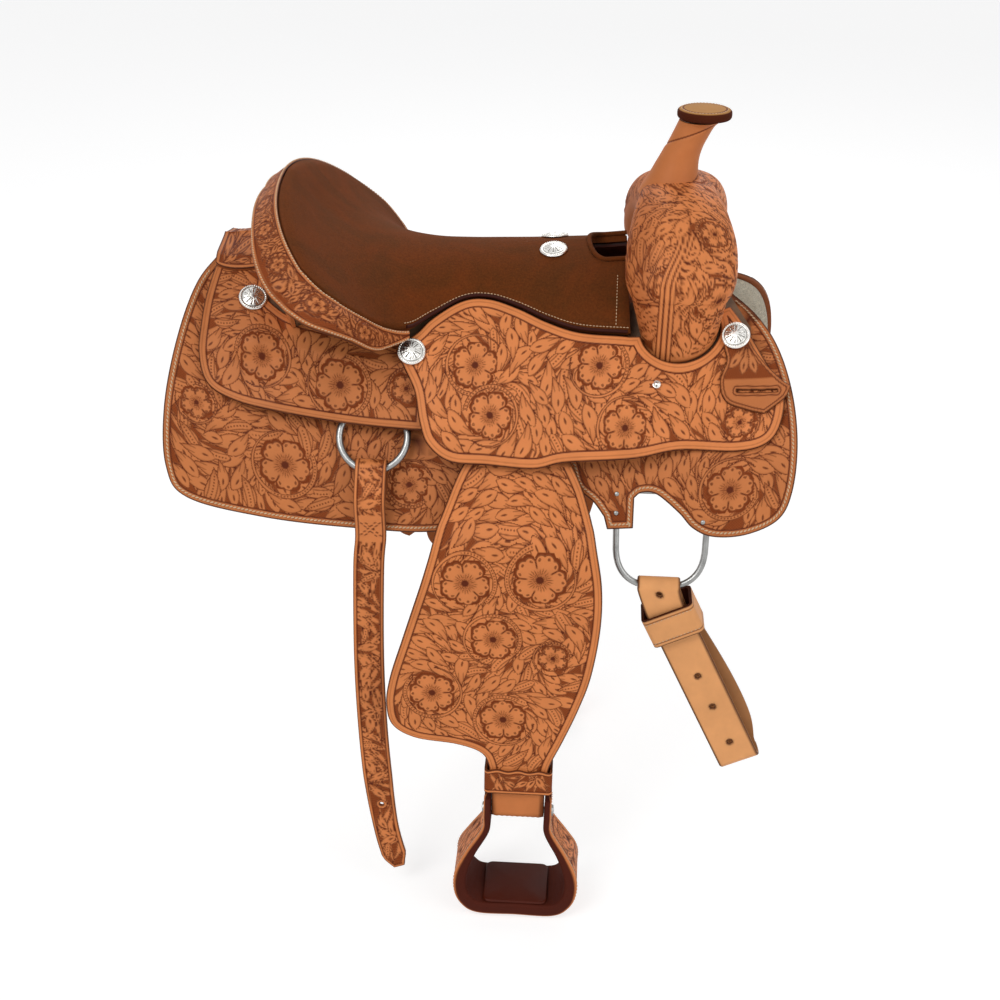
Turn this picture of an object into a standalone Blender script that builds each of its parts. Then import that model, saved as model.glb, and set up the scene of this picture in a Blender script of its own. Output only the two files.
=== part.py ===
"""Western ranch saddle, built from its separate pieces at real size.

+X points to the horse's head, +Y to its near (left) side and +Z up. The origin lies on the
middle plane at the roof of the channel over the horse's back, where the saddle is carried.
Most pieces are sheets of leather that follow the horse's barrel. A place on such a sheet is
given by x, by the distance down the side from the channel, and by the height off the fleece.
"""

import math

import bmesh
import bpy
from mathutils import Matrix, Vector

NEAR = 1
OFF = -1
SIDES = (("near", NEAR), ("off", OFF))

# Gaps that touching pieces keep, and looser fits
GAP = 0.0003
LEATHER_FIT = 0.0006
COVER_FIT = 0.0010
EDGE_FIT = 0.0018

# The horse's barrel that the skirts lie on
BARREL_RADIUS = 0.370
BACK_SLOPE = math.radians(30)
CHANNEL_HALF = 0.018
PANEL = 0.036
STATION = 0.045
ROCK_REACH = 0.300
ROCK_REAR = 0.042
ROCK_FRONT = 0.026
FLARE_REAR = 0.006
FLARE_FRONT = 0.004

# Leather and wood thicknesses
SKIRT_LEATHER = 0.005
FLEECE = 0.013
BAR_THICK = 0.0217
JOCKEY_LEATHER = 0.0045
SEAT_PAD = 0.009
GROUND_SEAT = 0.0045
FORK_LEATHER = 0.0045
STRAP_LEATHER = 0.004
FENDER_LEATHER = 0.0045
KEEPER_LEATHER = 0.0035
STIRRUP_LEATHER = 0.005

# Heights off the fleece line
SKIRT_TOP = SKIRT_LEATHER
SEAT_RISE = 0.0455
REAR_JOCKEY_EDGE = 0.0248
REAR_JOCKEY_BACK = 0.007

# Stirrup leathers and fenders
HANG_X = 0.068
HANG_Z = -0.092
HANG_PLANE = 0.214
GROOVE_WALL = 0.1463
STRAP_HALF = 0.0305
HANG_STANDOFF = 0.014
BOLT_Z = -0.568
BOLT_RADIUS = 0.004
BOLT_FIT = 0.0005

# Rigging hardware
REAR_DEE_RADIUS = 0.037
REAR_DEE_WIRE = 0.004
REAR_DEE_X = -0.100
REAR_DEE_TOP = 0.150
FRONT_DEE_WIRE = 0.0035
FRONT_DEE_X = 0.215
BILLET_HALF = 0.017
BILLET_SHARES = {OFF: 1.0, NEAR: 0.46}
CINCH_STRAP_HALF = 0.023
EYE_LEATHER = 0.004
HANGER_LEATHER = 0.0026
REAR_EYE = 0.0070
FRONT_EYE = 0.0075

# Fork and horn
FORK_SIDES = 14
FOOT_X = 0.225
FOOT_HALF_LENGTH = 0.041
FOOT_PLACE = 0.075
FOOT_HALF_WIDTH = 0.033
FOOT_LIFT = 0.0016
CAP_X = 0.242
CAP_RADIUS = 0.0295
CAP_TOP = 0.2115
CAP_DEPTH = 0.0115
WRAP_LEATHER = 0.003

# Cantle and roll
ROLL_WIDTH = 0.036
ROLL_LEATHER = 0.006
CREST_DROP = math.radians(56)
WING_DROP = math.radians(42)
CANTLE_THICK = 0.012
CANTLE_FOOT_X = -0.205
CANTLE_DROP = 0.033
CANTLE_SPAN = 0.94

# Stirrups
STIRRUP_EAR = 0.0078
STIRRUP_WOOD = 0.014
NECK_DEPTH = 0.046
TREAD_DEPTH = 0.078
STIRRUP_HEIGHT = 0.127
TREAD_HALF = 0.073

# Silver
CONCHO_RADIUS = 0.0155
CONCHO_HEIGHT = 0.005
SCREW_RADIUS = 0.0045
SEAT_CONCHO_ACROSS = 0.20
SEAT_CONCHO_ROW = 9.60

TOOLED = ("tooled_leather", (0.49, 0.20, 0.075), 0.5, 0.0)
SUEDE = ("suede", (0.115, 0.045, 0.022), 0.95, 0.0)
PLAIN = ("plain_leather", (0.60, 0.31, 0.14), 0.55, 0.0)
DARK = ("dark_leather", (0.10, 0.03, 0.018), 0.5, 0.0)
WOOL = ("fleece", (0.72, 0.66, 0.50), 1.0, 0.0)
WOOD = ("rawhide_tree", (0.66, 0.55, 0.38), 0.7, 0.0)
STEEL = ("steel", (0.55, 0.55, 0.56), 0.35, 1.0)
SILVER = ("silver", (0.80, 0.79, 0.76), 0.25, 1.0)


def ease(value, start, end):
    """Smooth step from 0 at start to 1 at end."""
    share = min(max((value - start) / (end - start), 0.0), 1.0)
    return share * share * (3 - 2 * share)


def mix(first, second, share):
    return first + (second - first) * share


def spline(points, steps):
    """Smooth open curve through the points, with steps pieces from each point to the next."""
    knots = [Vector(point) for point in points]
    if len(knots) == 2:
        return knots
    padded = [2 * knots[0] - knots[1]] + knots + [2 * knots[-1] - knots[-2]]
    curve = []
    for before, start, end, after in zip(padded, padded[1:], padded[2:], padded[3:]):
        for step in range(steps):
            f = step / steps
            bend = 2 * before - 5 * start + 4 * end - after
            twist = -before + 3 * start - 3 * end + after
            curve.append(0.5 * (2 * start + (end - before) * f + bend * f * f + twist * f ** 3))
    curve.append(knots[-1])
    return curve


def outline(*runs, steps=2):
    """Closed outline of smooth runs that meet at corners."""
    points = []
    for run in runs:
        points.extend(spline(run, steps)[:-1])
    return points


class BentLine:
    """A bent line of (out, up) corners in the plane across the horse."""

    def __init__(self, corners, start=0.0):
        self.corners = [Vector(corner) for corner in corners]
        self.reach = [start]
        for first, second in zip(self.corners, self.corners[1:]):
            self.reach.append(self.reach[-1] + (second - first).length)
        normals = []
        for first, second in zip(self.corners, self.corners[1:]):
            run = (second - first).normalized()
            normals.append(Vector((-run.y, run.x)))
        self.leans = [normals[0]]
        for first, second in zip(normals, normals[1:]):
            self.leans.append((first + second) / (1 + first.dot(second)))
        self.leans.append(normals[-1])

    def segment(self, distance):
        last = len(self.corners) - 2
        k = 0
        while k < last and distance > self.reach[k + 1]:
            k += 1
        return k, (distance - self.reach[k]) / (self.reach[k + 1] - self.reach[k])

    def point(self, distance, offset):
        """Point at a distance along the line and an offset outward, with mitred corners."""
        k, share = self.segment(distance)
        start = self.corners[k] + offset * self.leans[k]
        end = self.corners[k + 1] + offset * self.leans[k + 1]
        return start + (end - start) * share

    def at_height(self, height):
        """Distance along the line where it first comes down to a height."""
        for k, (first, second) in enumerate(zip(self.corners, self.corners[1:])):
            if first.y >= height > second.y:
                share = (first.y - height) / (first.y - second.y)
                return mix(self.reach[k], self.reach[k + 1], share)
        return self.reach[0]


def barrel_line():
    """The side of the barrel as flat panels that turn down by equal angles."""
    turn = PANEL / BARREL_RADIUS
    corners = []
    for k in range(-1, 12):
        angle = BACK_SLOPE + k * turn
        out = CHANNEL_HALF + BARREL_RADIUS * (math.sin(angle) - math.sin(BACK_SLOPE))
        up = BARREL_RADIUS * (math.cos(angle) - math.cos(BACK_SLOPE))
        corners.append((out, up))
    chord = 2 * BARREL_RADIUS * math.sin(turn / 2)
    return BentLine(corners, start=-chord)


BARREL = barrel_line()


def rock_at_station(k):
    """How far the side flares out and rises at one station along the back."""
    share = (k * STATION / ROCK_REACH) ** 2
    if k < 0:
        return Vector((FLARE_REAR * share, ROCK_REAR * share))
    return Vector((FLARE_FRONT * share, ROCK_FRONT * share))


def rock(x):
    k = math.floor(x / STATION)
    return rock_at_station(k).lerp(rock_at_station(k + 1), x / STATION - k)


def side_point(side, x, down, height):
    """Point on one side of the saddle."""
    place = BARREL.point(down, height) + rock(x)
    return Vector((x, side * place.x, place.y))


def side_frame(side, x, down, height):
    """Point on the side with its forward, downward and outward directions."""
    step = 0.002
    here = side_point(side, x, down, height)
    forward = (side_point(side, x + step, down, height) - here).normalized()
    downward = (side_point(side, x, down + step, height) - here).normalized()
    outward = forward.cross(downward) * side
    return here, forward, downward, outward.normalized()


def quilted(depth):
    """A height given at the corners of the panels and flat over each half panel between them."""
    def patch(x, down):
        k = math.floor(x / STATION)
        f = x / STATION - k
        j, g = BARREL.segment(down)
        rear, front = k * STATION, (k + 1) * STATION
        high, low = BARREL.reach[j], BARREL.reach[j + 1]
        first, last = depth(rear, high), depth(front, low)
        if f > g:
            middle = depth(front, high)
            return first + (middle - first) * f + (last - middle) * g
        middle = depth(rear, low)
        return first + (middle - first) * g + (last - middle) * f
    return patch


def groove_share(x):
    """1 where the bar is full thickness for the stirrup leather, 0 away from it."""
    return ease(x, -0.045, 0.0) * (1 - ease(x, 0.135, 0.180))


def bar_top_corner(x, down):
    ends = ease(x, -0.300, -0.225) * (1 - ease(x, 0.262, 0.330))
    edge = mix(1.0, 0.3, ease(down, 0.108, 0.144)) * (1 - ease(down, 0.144, 0.180))
    return SKIRT_TOP + GAP + BAR_THICK * max(ends, 0.08) * max(edge, groove_share(x))


def rear_jockey_corner(x, down):
    """Underside of the rear jockey, which clears the bar and the rear dee."""
    edge = mix(REAR_JOCKEY_BACK, REAR_JOCKEY_EDGE, ease(x, -0.300, -0.180))
    return max(bar_top_corner(x, down) + COVER_FIT, edge)


def seat_jockey_corner(x, down):
    """Underside of the seat jockey, which stands off over the stirrup leather."""
    zone = ease(x, -0.085, -0.020) * (1 - ease(x, 0.150, 0.260))
    under = rear_jockey_corner(x, down) + JOCKEY_LEATHER + LEATHER_FIT
    front = bar_top_corner(x, down) + COVER_FIT
    resting = under if x < 0.01 else front
    raised = SEAT_RISE - JOCKEY_LEATHER - 0.0065 * ease(down, 0.125, 0.216)
    return mix(resting, max(resting, raised), zone)


bar_top = quilted(bar_top_corner)
rear_jockey_under = quilted(rear_jockey_corner)
seat_jockey_under = quilted(seat_jockey_corner)


def raised_by(depth, thickness):
    return lambda x, down: depth(x, down) + thickness


rear_jockey_face = raised_by(rear_jockey_under, JOCKEY_LEATHER)
seat_jockey_face = raised_by(seat_jockey_under, JOCKEY_LEATHER)


def clear_scene():
    for item in list(bpy.data.objects):
        bpy.data.objects.remove(item)


def collection(name):
    group = bpy.data.collections.new(name)
    bpy.context.scene.collection.children.link(group)
    return group


def material(finish):
    name, colour, roughness, metallic = finish
    known = bpy.data.materials.get(name)
    if known:
        return known
    made = bpy.data.materials.new(name)
    made.use_nodes = True
    shader = made.node_tree.nodes["Principled BSDF"]
    shader.inputs["Base Color"].default_value = (*colour, 1)
    shader.inputs["Roughness"].default_value = roughness
    shader.inputs["Metallic"].default_value = metallic
    made.diffuse_color = (*colour, 1)
    return made


def is_bent(face):
    """True for a face whose corners do not lie in one plane."""
    if len(face.verts) != 4:
        return False
    first, second, third, fourth = (vert.co for vert in face.verts)
    normal = (second - first).cross(third - first)
    return abs(normal.normalized().dot(fourth - first)) > 1e-6


def finished(name, mesh, finish, group=None):
    """Object from a closed bmesh, turned the right way out and shaded."""
    mesh.normal_update()
    bent = [face for face in mesh.faces if is_bent(face)]
    bmesh.ops.triangulate(mesh, faces=bent, quad_method='FIXED')
    bmesh.ops.recalc_face_normals(mesh, faces=mesh.faces)
    if mesh.calc_volume(signed=True) < 0:
        bmesh.ops.reverse_faces(mesh, faces=mesh.faces)
    data = bpy.data.meshes.new(name)
    mesh.to_mesh(data)
    mesh.free()
    data.shade_smooth()
    data.set_sharp_from_angle(angle=math.radians(35))
    made = bpy.data.objects.new(name, data)
    (group or SADDLE).objects.link(made)
    data.materials.append(material(finish))
    return made


def cutter(name, mesh):
    made = finished(name, mesh, STEEL, CUTTERS)
    made.hide_render = True
    made.display_type = 'WIRE'
    return made


def cut(target, tool):
    boolean = target.modifiers.new("cut_" + tool.name, 'BOOLEAN')
    boolean.operation = 'DIFFERENCE'
    boolean.object = tool


def sheet_mesh(side, points, line, inner, outer, place, crossings=()):
    """Flat outline cut at the bends of a line and laid there, from inner to outer height."""
    mesh = bmesh.new()
    mesh.faces.new([mesh.verts.new((x, down, 0)) for x, down in points])
    spans = [(Vector((0, reach, 0)), Vector((0, 1, 0))) for reach in line.reach]
    spans += [(Vector((x, 0, 0)), Vector((1, 0, 0))) for x in crossings]
    if callable(inner):
        step = line.reach[1] - line.reach[0]
        for k in range(-20, 21):
            spans.append((Vector((k * STATION, line.reach[0], 0)), Vector((step, -STATION, 0))))
    for centre, normal in spans:
        parts = mesh.verts[:] + mesh.edges[:] + mesh.faces[:]
        bmesh.ops.bisect_plane(mesh, geom=parts, dist=1e-6, plane_co=centre, plane_no=normal)
    lower = mesh.verts[:]
    copy = bmesh.ops.duplicate(mesh, geom=mesh.verts[:] + mesh.edges[:] + mesh.faces[:])
    upper = [copy["vert_map"][vert] for vert in lower]
    partner = dict(zip(lower, upper))
    rim = [edge for edge in mesh.edges if edge.is_boundary and edge.verts[0] in partner]
    for edge in rim:
        first, second = edge.verts
        mesh.faces.new((first, second, partner[second], partner[first]))
    for verts, depth in ((lower, inner), (upper, outer)):
        for vert in verts:
            x, down = vert.co.x, vert.co.y
            height = depth(x, down) if callable(depth) else depth
            vert.co = place(side, x, down, height)
    return mesh


STATIONS = [k * STATION for k in range(-8, 9)]


def side_sheet(name, side, points, inner, outer, finish, group=None):
    mesh = sheet_mesh(side, points, BARREL, inner, outer, side_point, STATIONS)
    return finished(name, mesh, finish, group)


def ribbed_cap(mesh, loop):
    """Cap across a ring as strips between its points of equal width."""
    half = len(loop) // 2
    for base in (0, half):
        for k in range(half // 2):
            first, last = base + k, base + half - k
            if last - first > 1:
                corners = (first, first + 1, last - 1, last)
                mesh.faces.new([loop[n % len(loop)] for n in dict.fromkeys(corners)])


def loft_mesh(rings, closed=False, ribbed=False):
    """Closed skin over rings of as many points each, capped at both ends unless it is closed."""
    mesh = bmesh.new()
    loops = [[mesh.verts.new(point) for point in ring] for ring in rings]
    pairs = list(zip(loops, loops[1:]))
    if closed:
        pairs.append((loops[-1], loops[0]))
    for first, second in pairs:
        for k in range(len(first)):
            n = (k + 1) % len(first)
            mesh.faces.new((first[k], first[n], second[n], second[k]))
    if ribbed:
        ribbed_cap(mesh, loops[0])
        ribbed_cap(mesh, loops[-1])
    elif not closed:
        mesh.faces.new(loops[0])
        mesh.faces.new(list(reversed(loops[-1])))
    return mesh


def tube_mesh(outer, inner):
    """Wall between an outer and an inner skin, open at both ends."""
    mesh = bmesh.new()
    skins = []
    for rings in (outer, inner):
        skins.append([[mesh.verts.new(point) for point in ring] for ring in rings])
    for loops in skins:
        for first, second in zip(loops, loops[1:]):
            for k in range(len(first)):
                n = (k + 1) % len(first)
                mesh.faces.new((first[k], first[n], second[n], second[k]))
    for end in (0, -1):
        out, into = skins[0][end], skins[1][end]
        for k in range(len(out)):
            n = (k + 1) % len(out)
            mesh.faces.new((out[k], out[n], into[n], into[k]))
    return mesh


def cylinder_mesh(radius, start, end, sides=16):
    """Round bar from start to end."""
    axis = end - start
    mesh = bmesh.new()
    bmesh.ops.create_cone(mesh, cap_ends=True, segments=sides, radius1=radius, radius2=radius,
                          depth=axis.length)
    turn = axis.to_track_quat('Z', 'Y').to_matrix().to_4x4()
    bmesh.ops.transform(mesh, matrix=Matrix.Translation((start + end) / 2) @ turn, verts=mesh.verts)
    return mesh


def turned_mesh(profile, steps):
    """Solid turned about Z from a profile that runs down its outer side."""
    data = bpy.data.meshes.new("profile")
    mesh = bmesh.new()
    points = [mesh.verts.new((radius, 0, height)) for radius, height in profile]
    for first, second in zip(points, points[1:]):
        mesh.edges.new((first, second))
    mesh.to_mesh(data)
    mesh.free()
    blank = bpy.data.objects.new("profile", data)
    CUTTERS.objects.link(blank)
    screw = blank.modifiers.new("turn", 'SCREW')
    screw.steps = steps
    screw.render_steps = steps
    screw.use_merge_vertices = True
    screw.merge_threshold = 0.00001
    view = bpy.context.evaluated_depsgraph_get()
    made = bpy.data.meshes.new_from_object(blank.evaluated_get(view))
    bpy.data.objects.remove(blank)
    return made


def frame_matrix(here, forward, outward):
    """Matrix that stands Z on a surface, with X forward."""
    across = outward.cross(forward).normalized()
    turn = Matrix((across.cross(outward), across, outward)).transposed().to_4x4()
    return Matrix.Translation(here) @ turn


def resting_height(side, x, down, face, radius):
    """Height above a face at which a flat disc just clears it all round."""
    here, forward, downward, outward = side_frame(side, x, down, face(x, down))
    highest = 0.0
    for turn in range(12):
        angle = turn * math.pi / 6
        for reach in (0.5 * radius, radius):
            along = x + reach * math.cos(angle)
            below = down + reach * math.sin(angle)
            other = side_point(side, along, below, face(along, below))
            highest = max(highest, (other - here).dot(outward))
    return frame_matrix(here + outward * (highest + GAP), forward, outward)


# Skirts, fleece and jockeys
SKIRT_REAR = [(-0.287, 0.004), (-0.305, 0.050), (-0.318, 0.120), (-0.326, 0.200), (-0.322, 0.262),
              (-0.300, 0.289), (-0.222, 0.291), (-0.122, 0.286), (-0.031, 0.281), (0.045, 0.262),
              (0.090, 0.222), (0.113, 0.205)]
SKIRT_TAB = [(0.113, 0.205), (0.122, 0.230), (0.140, 0.246), (0.152, 0.262)]
TAB_BOTTOM = 0.276
TAB_FRONT = 0.184
SKIRT_FRONT = [(TAB_FRONT, 0.243), (0.192, 0.238), (0.208, 0.241), (0.232, 0.262), (0.248, 0.280),
               (0.270, 0.291), (0.305, 0.292), (0.338, 0.279), (0.351, 0.250), (0.354, 0.200),
               (0.347, 0.144), (0.331, 0.090), (0.308, 0.048), (0.272, 0.004)]


def skirt_outline():
    tab_rear = (0.156, TAB_BOTTOM)
    tab_front = (TAB_FRONT, TAB_BOTTOM)
    return outline(SKIRT_REAR, SKIRT_TAB, [SKIRT_TAB[-1], tab_rear], [tab_rear, tab_front],
                   [tab_front, SKIRT_FRONT[0]], SKIRT_FRONT, [SKIRT_FRONT[-1], SKIRT_REAR[0]])


def fleece_outline():
    """The skirt's outline drawn in, and cut away over the front dee."""
    inset = 0.005
    rear = [(x + inset, down) for x, down in SKIRT_REAR[:5]]
    lower = [(x, down - inset) for x, down in SKIRT_REAR[5:-2]]
    lobe = [(x - inset, down - inset) for x, down in SKIRT_FRONT[6:10]]
    front = [(x - inset, down) for x, down in SKIRT_FRONT[10:]]
    over_dee = [lower[-1], (0.070, 0.226), (0.160, 0.206), (0.240, 0.206), (0.285, 0.222), lobe[0]]
    return outline(rear + lower, over_dee, lobe + front, [front[-1], rear[0]], steps=1)


def rear_jockey_outline():
    corner = (-0.2265, 0.012)
    under_seat = [(-0.2265, 0.100), (-0.190, 0.108), (-0.120, 0.100), (-0.045, 0.090)]
    lower = [(-0.045, 0.176), (-0.110, 0.177), (-0.201, 0.177), (-0.250, 0.174), (-0.280, 0.163),
             (-0.292, 0.135), (-0.293, 0.100), (-0.291, 0.062), (-0.284, 0.012)]
    return outline([lower[-1], corner], [corner, under_seat[0]], under_seat,
                   [under_seat[-1], lower[0]], lower)


SEAT_EDGE = [(-0.042, 0.062), (-0.010, 0.041), (0.018, 0.038), (0.050, 0.048), (0.082, 0.063),
             (0.118, 0.075), (0.172, 0.081)]


def seat_jockey_outline():
    """Starts at the mid concho, follows the seat's edge and the fork, and comes round below."""
    top = [(x, down + EDGE_FIT) for x, down in SEAT_EDGE]
    ear = [(-0.078, 0.102), (-0.071, 0.090), (-0.056, 0.078)]
    fork = [top[-1], (0.200, 0.080), (0.262, 0.072), (0.279, 0.045)]
    front = [fork[-1], (0.296, 0.073), (0.318, 0.110), (0.337, 0.146), (0.335, 0.178),
             (0.321, 0.197), (0.290, 0.202), (0.231, 0.196), (0.180, 0.203), (0.109, 0.205),
             (0.075, 0.211), (0.025, 0.208), (-0.015, 0.206), (-0.039, 0.191), (-0.049, 0.169),
             (-0.056, 0.140), (-0.068, 0.118), (-0.078, 0.102)]
    return outline(ear + top, fork, front)


def make_side_sheets(label, side):
    side_sheet(label + "_skirt", side, skirt_outline(), 0.0, SKIRT_TOP, TOOLED)
    side_sheet(label + "_fleece", side, fleece_outline(), -FLEECE, -GAP, WOOL)
    side_sheet(label + "_rear_jockey", side, rear_jockey_outline(), rear_jockey_under,
               rear_jockey_face, TOOLED)
    jockey = side_sheet(label + "_seat_jockey", side, seat_jockey_outline(), seat_jockey_under,
                        seat_jockey_face, TOOLED)
    cut(jockey, FORMERS["fork"])


# Tree
def make_bar(label, side):
    """Bar of the tree, with an upright wall for the stirrup leather."""
    points = outline([(-0.268, 0.040), (-0.276, 0.080), (-0.262, 0.116), (-0.200, 0.122),
                      (-0.100, 0.118), (-0.030, 0.130), (0.020, 0.170), (0.125, 0.170),
                      (0.170, 0.150), (0.260, 0.145), (0.298, 0.115), (0.302, 0.070),
                      (0.280, 0.034)], [(0.280, 0.034), (-0.268, 0.040)], steps=1)
    mesh = sheet_mesh(side, points, BARREL, SKIRT_TOP + GAP, bar_top, side_point, STATIONS)
    parts = mesh.verts[:] + mesh.edges[:] + mesh.faces[:]
    wall = Vector((0, side * GROOVE_WALL, 0))
    bmesh.ops.bisect_plane(mesh, geom=parts, dist=1e-6, plane_co=wall,
                           plane_no=Vector((0, side, 0)), clear_outer=True)
    rim = [edge for edge in mesh.edges if edge.is_boundary]
    bmesh.ops.holes_fill(mesh, edges=rim)
    finished(label + "_bar", mesh, WOOD)


def make_bar_strap(label, side):
    """The stretch of stirrup leather that lies over the bar."""
    half = STRAP_HALF - 0.004
    points = [(HANG_X - half, 0.034), (HANG_X + half, 0.034), (HANG_X + half, 0.134),
              (HANG_X - half, 0.134)]
    side_sheet(label + "_bar_strap", side, points, raised_by(bar_top, COVER_FIT / 2),
               raised_by(bar_top, COVER_FIT / 2 + 0.0038), DARK)


# Fork: half stations as out, up, half thickness, rear x and front x of the covered shape
FORK_STATIONS = [(0.000, 0.108, 0.029, 0.176, 0.262), (0.045, 0.101, 0.031, 0.170, 0.272),
                 (0.080, 0.079, 0.035, 0.164, 0.281), (0.100, 0.050, 0.036, 0.164, 0.281),
                 (0.104, 0.030, 0.033, 0.172, 0.272)]


def fork_ring(out, up, lean, half, rear, front, inset):
    """Rounded section across the arch of the fork."""
    ring = []
    for k in range(FORK_SIDES):
        angle = 2 * math.pi * k / FORK_SIDES
        flat = 0.8
        along = math.copysign(abs(math.cos(angle)) ** flat, math.cos(angle))
        through = math.copysign(abs(math.sin(angle)) ** flat, math.sin(angle))
        x = (rear + front) / 2 + along * ((front - rear) / 2 - inset)
        reach = through * (half - inset)
        ring.append(Vector((x, out + lean.x * reach, up + lean.y * reach)))
    return ring


def foot_ring(side, inset, lift):
    """Section where the fork stands on the bar."""
    ring = []
    for k in range(FORK_SIDES):
        angle = 2 * math.pi * k / FORK_SIDES
        x = FOOT_X + math.cos(angle) * (FOOT_HALF_LENGTH - inset)
        down = FOOT_PLACE + math.sin(angle) * (FOOT_HALF_WIDTH - inset)
        ring.append(side_point(side, x, down, bar_top(x, down) + lift))
    return ring


def fork_rings(inset):
    """Rings from the off foot over the arch to the near foot."""
    curve = FORK_STATIONS[:1] + spline(FORK_STATIONS[1:], 2)
    near = []
    for k, (out, up, half, rear, front) in enumerate(curve):
        before = curve[max(k - 1, 0)]
        after = curve[min(k + 1, len(curve) - 1)]
        run = Vector((after[0] - before[0], after[1] - before[1])).normalized()
        lean = Vector((-run.y, run.x)) if k else Vector((0, 1))
        near.append(fork_ring(out, up, lean, half, rear, front, inset))
    off = [[Vector((p.x, -p.y, p.z)) for p in ring] for ring in reversed(near[1:])]
    return [foot_ring(OFF, inset, FOOT_LIFT)] + off + near + [foot_ring(NEAR, inset, FOOT_LIFT)]


def fork_clearance():
    """Space that the fork takes, a little larger and down into the bars."""
    grown = -2 * GAP
    depth = -0.004
    return [foot_ring(OFF, grown, depth)] + fork_rings(grown) + [foot_ring(NEAR, grown, depth)]


def make_fork():
    finished("fork", loft_mesh(fork_rings(FORK_LEATHER + 2 * GAP), ribbed=True), WOOD)
    finished("fork_cover", tube_mesh(fork_rings(0), fork_rings(FORK_LEATHER)), TOOLED)


# Horn: x, height and radius of the wrapped neck
HORN_NECK = [(0.2100, 0.118, 0.0350), (0.2135, 0.140, 0.0262), (0.2185, 0.158, 0.0212),
             (0.2255, 0.176, 0.0196), (0.2330, 0.192, 0.0200), (0.2375, 0.1975, 0.0222)]


def level_ring(x, height, radius, sides=16):
    ring = []
    for k in range(sides):
        angle = 2 * math.pi * k / sides
        ring.append(Vector((x + radius * math.cos(angle), radius * math.sin(angle), height)))
    return ring


def make_horn():
    neck = HORN_NECK
    core = [level_ring(x, up, radius - WRAP_LEATHER - GAP) for x, up, radius in neck]
    disc = CAP_RADIUS - WRAP_LEATHER - GAP
    roof = CAP_TOP - WRAP_LEATHER - GAP
    core.append(level_ring(CAP_X, CAP_TOP - CAP_DEPTH + WRAP_LEATHER, disc))
    core.append(level_ring(CAP_X, roof, disc))
    cut(finished("horn", loft_mesh(core), STEEL), FORMERS["fork"])
    outer = [level_ring(x, up, radius) for x, up, radius in neck]
    inner = [level_ring(x, up, radius - WRAP_LEATHER) for x, up, radius in neck]
    cut(finished("horn_wrap", tube_mesh(outer, inner), TOOLED), FORMERS["fork"])
    cap = [level_ring(CAP_X, CAP_TOP, CAP_RADIUS - 0.006),
           level_ring(CAP_X, CAP_TOP - 0.001, CAP_RADIUS - 0.001),
           level_ring(CAP_X, CAP_TOP - 0.003, CAP_RADIUS),
           level_ring(CAP_X, CAP_TOP - CAP_DEPTH + 0.002, CAP_RADIUS),
           level_ring(CAP_X, CAP_TOP - CAP_DEPTH, CAP_RADIUS - 0.001),
           level_ring(CAP_X, CAP_TOP - CAP_DEPTH, CAP_RADIUS - WRAP_LEATHER + GAP),
           level_ring(CAP_X, CAP_TOP - WRAP_LEATHER, CAP_RADIUS - WRAP_LEATHER + GAP)]
    finished("horn_cap", loft_mesh(cap), DARK)


# Seat: centre line, shoulder and edge from the crest of the cantle to the fork
SEAT_CENTRE = [(-0.212, 0.1295), (-0.204, 0.1280), (-0.192, 0.114), (-0.174, 0.091),
               (-0.143, 0.070), (-0.100, 0.058), (-0.052, 0.053), (-0.010, 0.053), (0.030, 0.055),
               (0.065, 0.057), (0.100, 0.060), (0.132, 0.063), (0.166, 0.068)]
SEAT_SHOULDER = [(-0.214, 0.126, 0.122), (-0.198, 0.136, 0.115), (-0.182, 0.146, 0.100),
                 (-0.160, 0.140, 0.084), (-0.130, 0.118, 0.067), (-0.092, 0.090, 0.056),
                 (-0.052, 0.066, 0.053), (-0.010, 0.055, 0.053), (0.030, 0.054, 0.054),
                 (0.065, 0.060, 0.054), (0.100, 0.068, 0.054), (0.132, 0.072, 0.055),
                 (0.166, 0.074, 0.058)]
SEAT_WING = [(-0.168, 0.176, 0.075), (-0.150, 0.184, 0.060), (-0.130, 0.183, 0.044),
             (-0.110, 0.170, 0.026), (-0.088, 0.146, 0.005), (-0.064, 0.122, -0.006)]


def seat_edge_rail():
    """Edge of the seat: the wings of the cantle, then the line where the jockeys start."""
    rail = [Vector(point) for point in SEAT_WING]
    for x, down in SEAT_EDGE:
        rail.append(side_point(NEAR, x, down, SEAT_RISE))
    return rail


SEAT_HALF_COLUMNS = 6
SEAT_ROW_STEP = 0.75
SEAT_ROWS = 16
ROLL_END_ROW = 4.95
SEAT_RAILS = [[Vector((x, 0, up)) for x, up in SEAT_CENTRE], [Vector(point) for point in SEAT_SHOULDER],
              seat_edge_rail()]


def rail_point(rail, along):
    """Point on a smooth rail at a row number that may fall between rows."""
    padded = [2 * rail[0] - rail[1]] + rail + [2 * rail[-1] - rail[-2]]
    k = min(max(int(math.floor(along)), 0), len(rail) - 2)
    f = along - k
    before, start, end, after = padded[k:k + 4]
    bend = 2 * before - 5 * start + 4 * end - after
    twist = -before + 3 * start - 3 * end + after
    return 0.5 * (2 * start + (end - before) * f + bend * f * f + twist * f ** 3)


def seat_surface(across, along):
    """Top of the seat: across runs from -1 at the off edge to 1 at the near edge."""
    share = abs(across)
    centre, shoulder, edge = (rail_point(rail, along) for rail in SEAT_RAILS)
    point = (1 - share) ** 2 * centre + 2 * share * (1 - share) * shoulder + share ** 2 * edge
    point.y = math.copysign(point.y, across)
    return point


def seat_normal(across, along):
    step = 0.01
    right = seat_surface(min(across + step, 1), along) - seat_surface(max(across - step, -1), along)
    ahead = seat_surface(across, along + step) - seat_surface(across, along - step)
    return ahead.cross(right).normalized()


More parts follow.
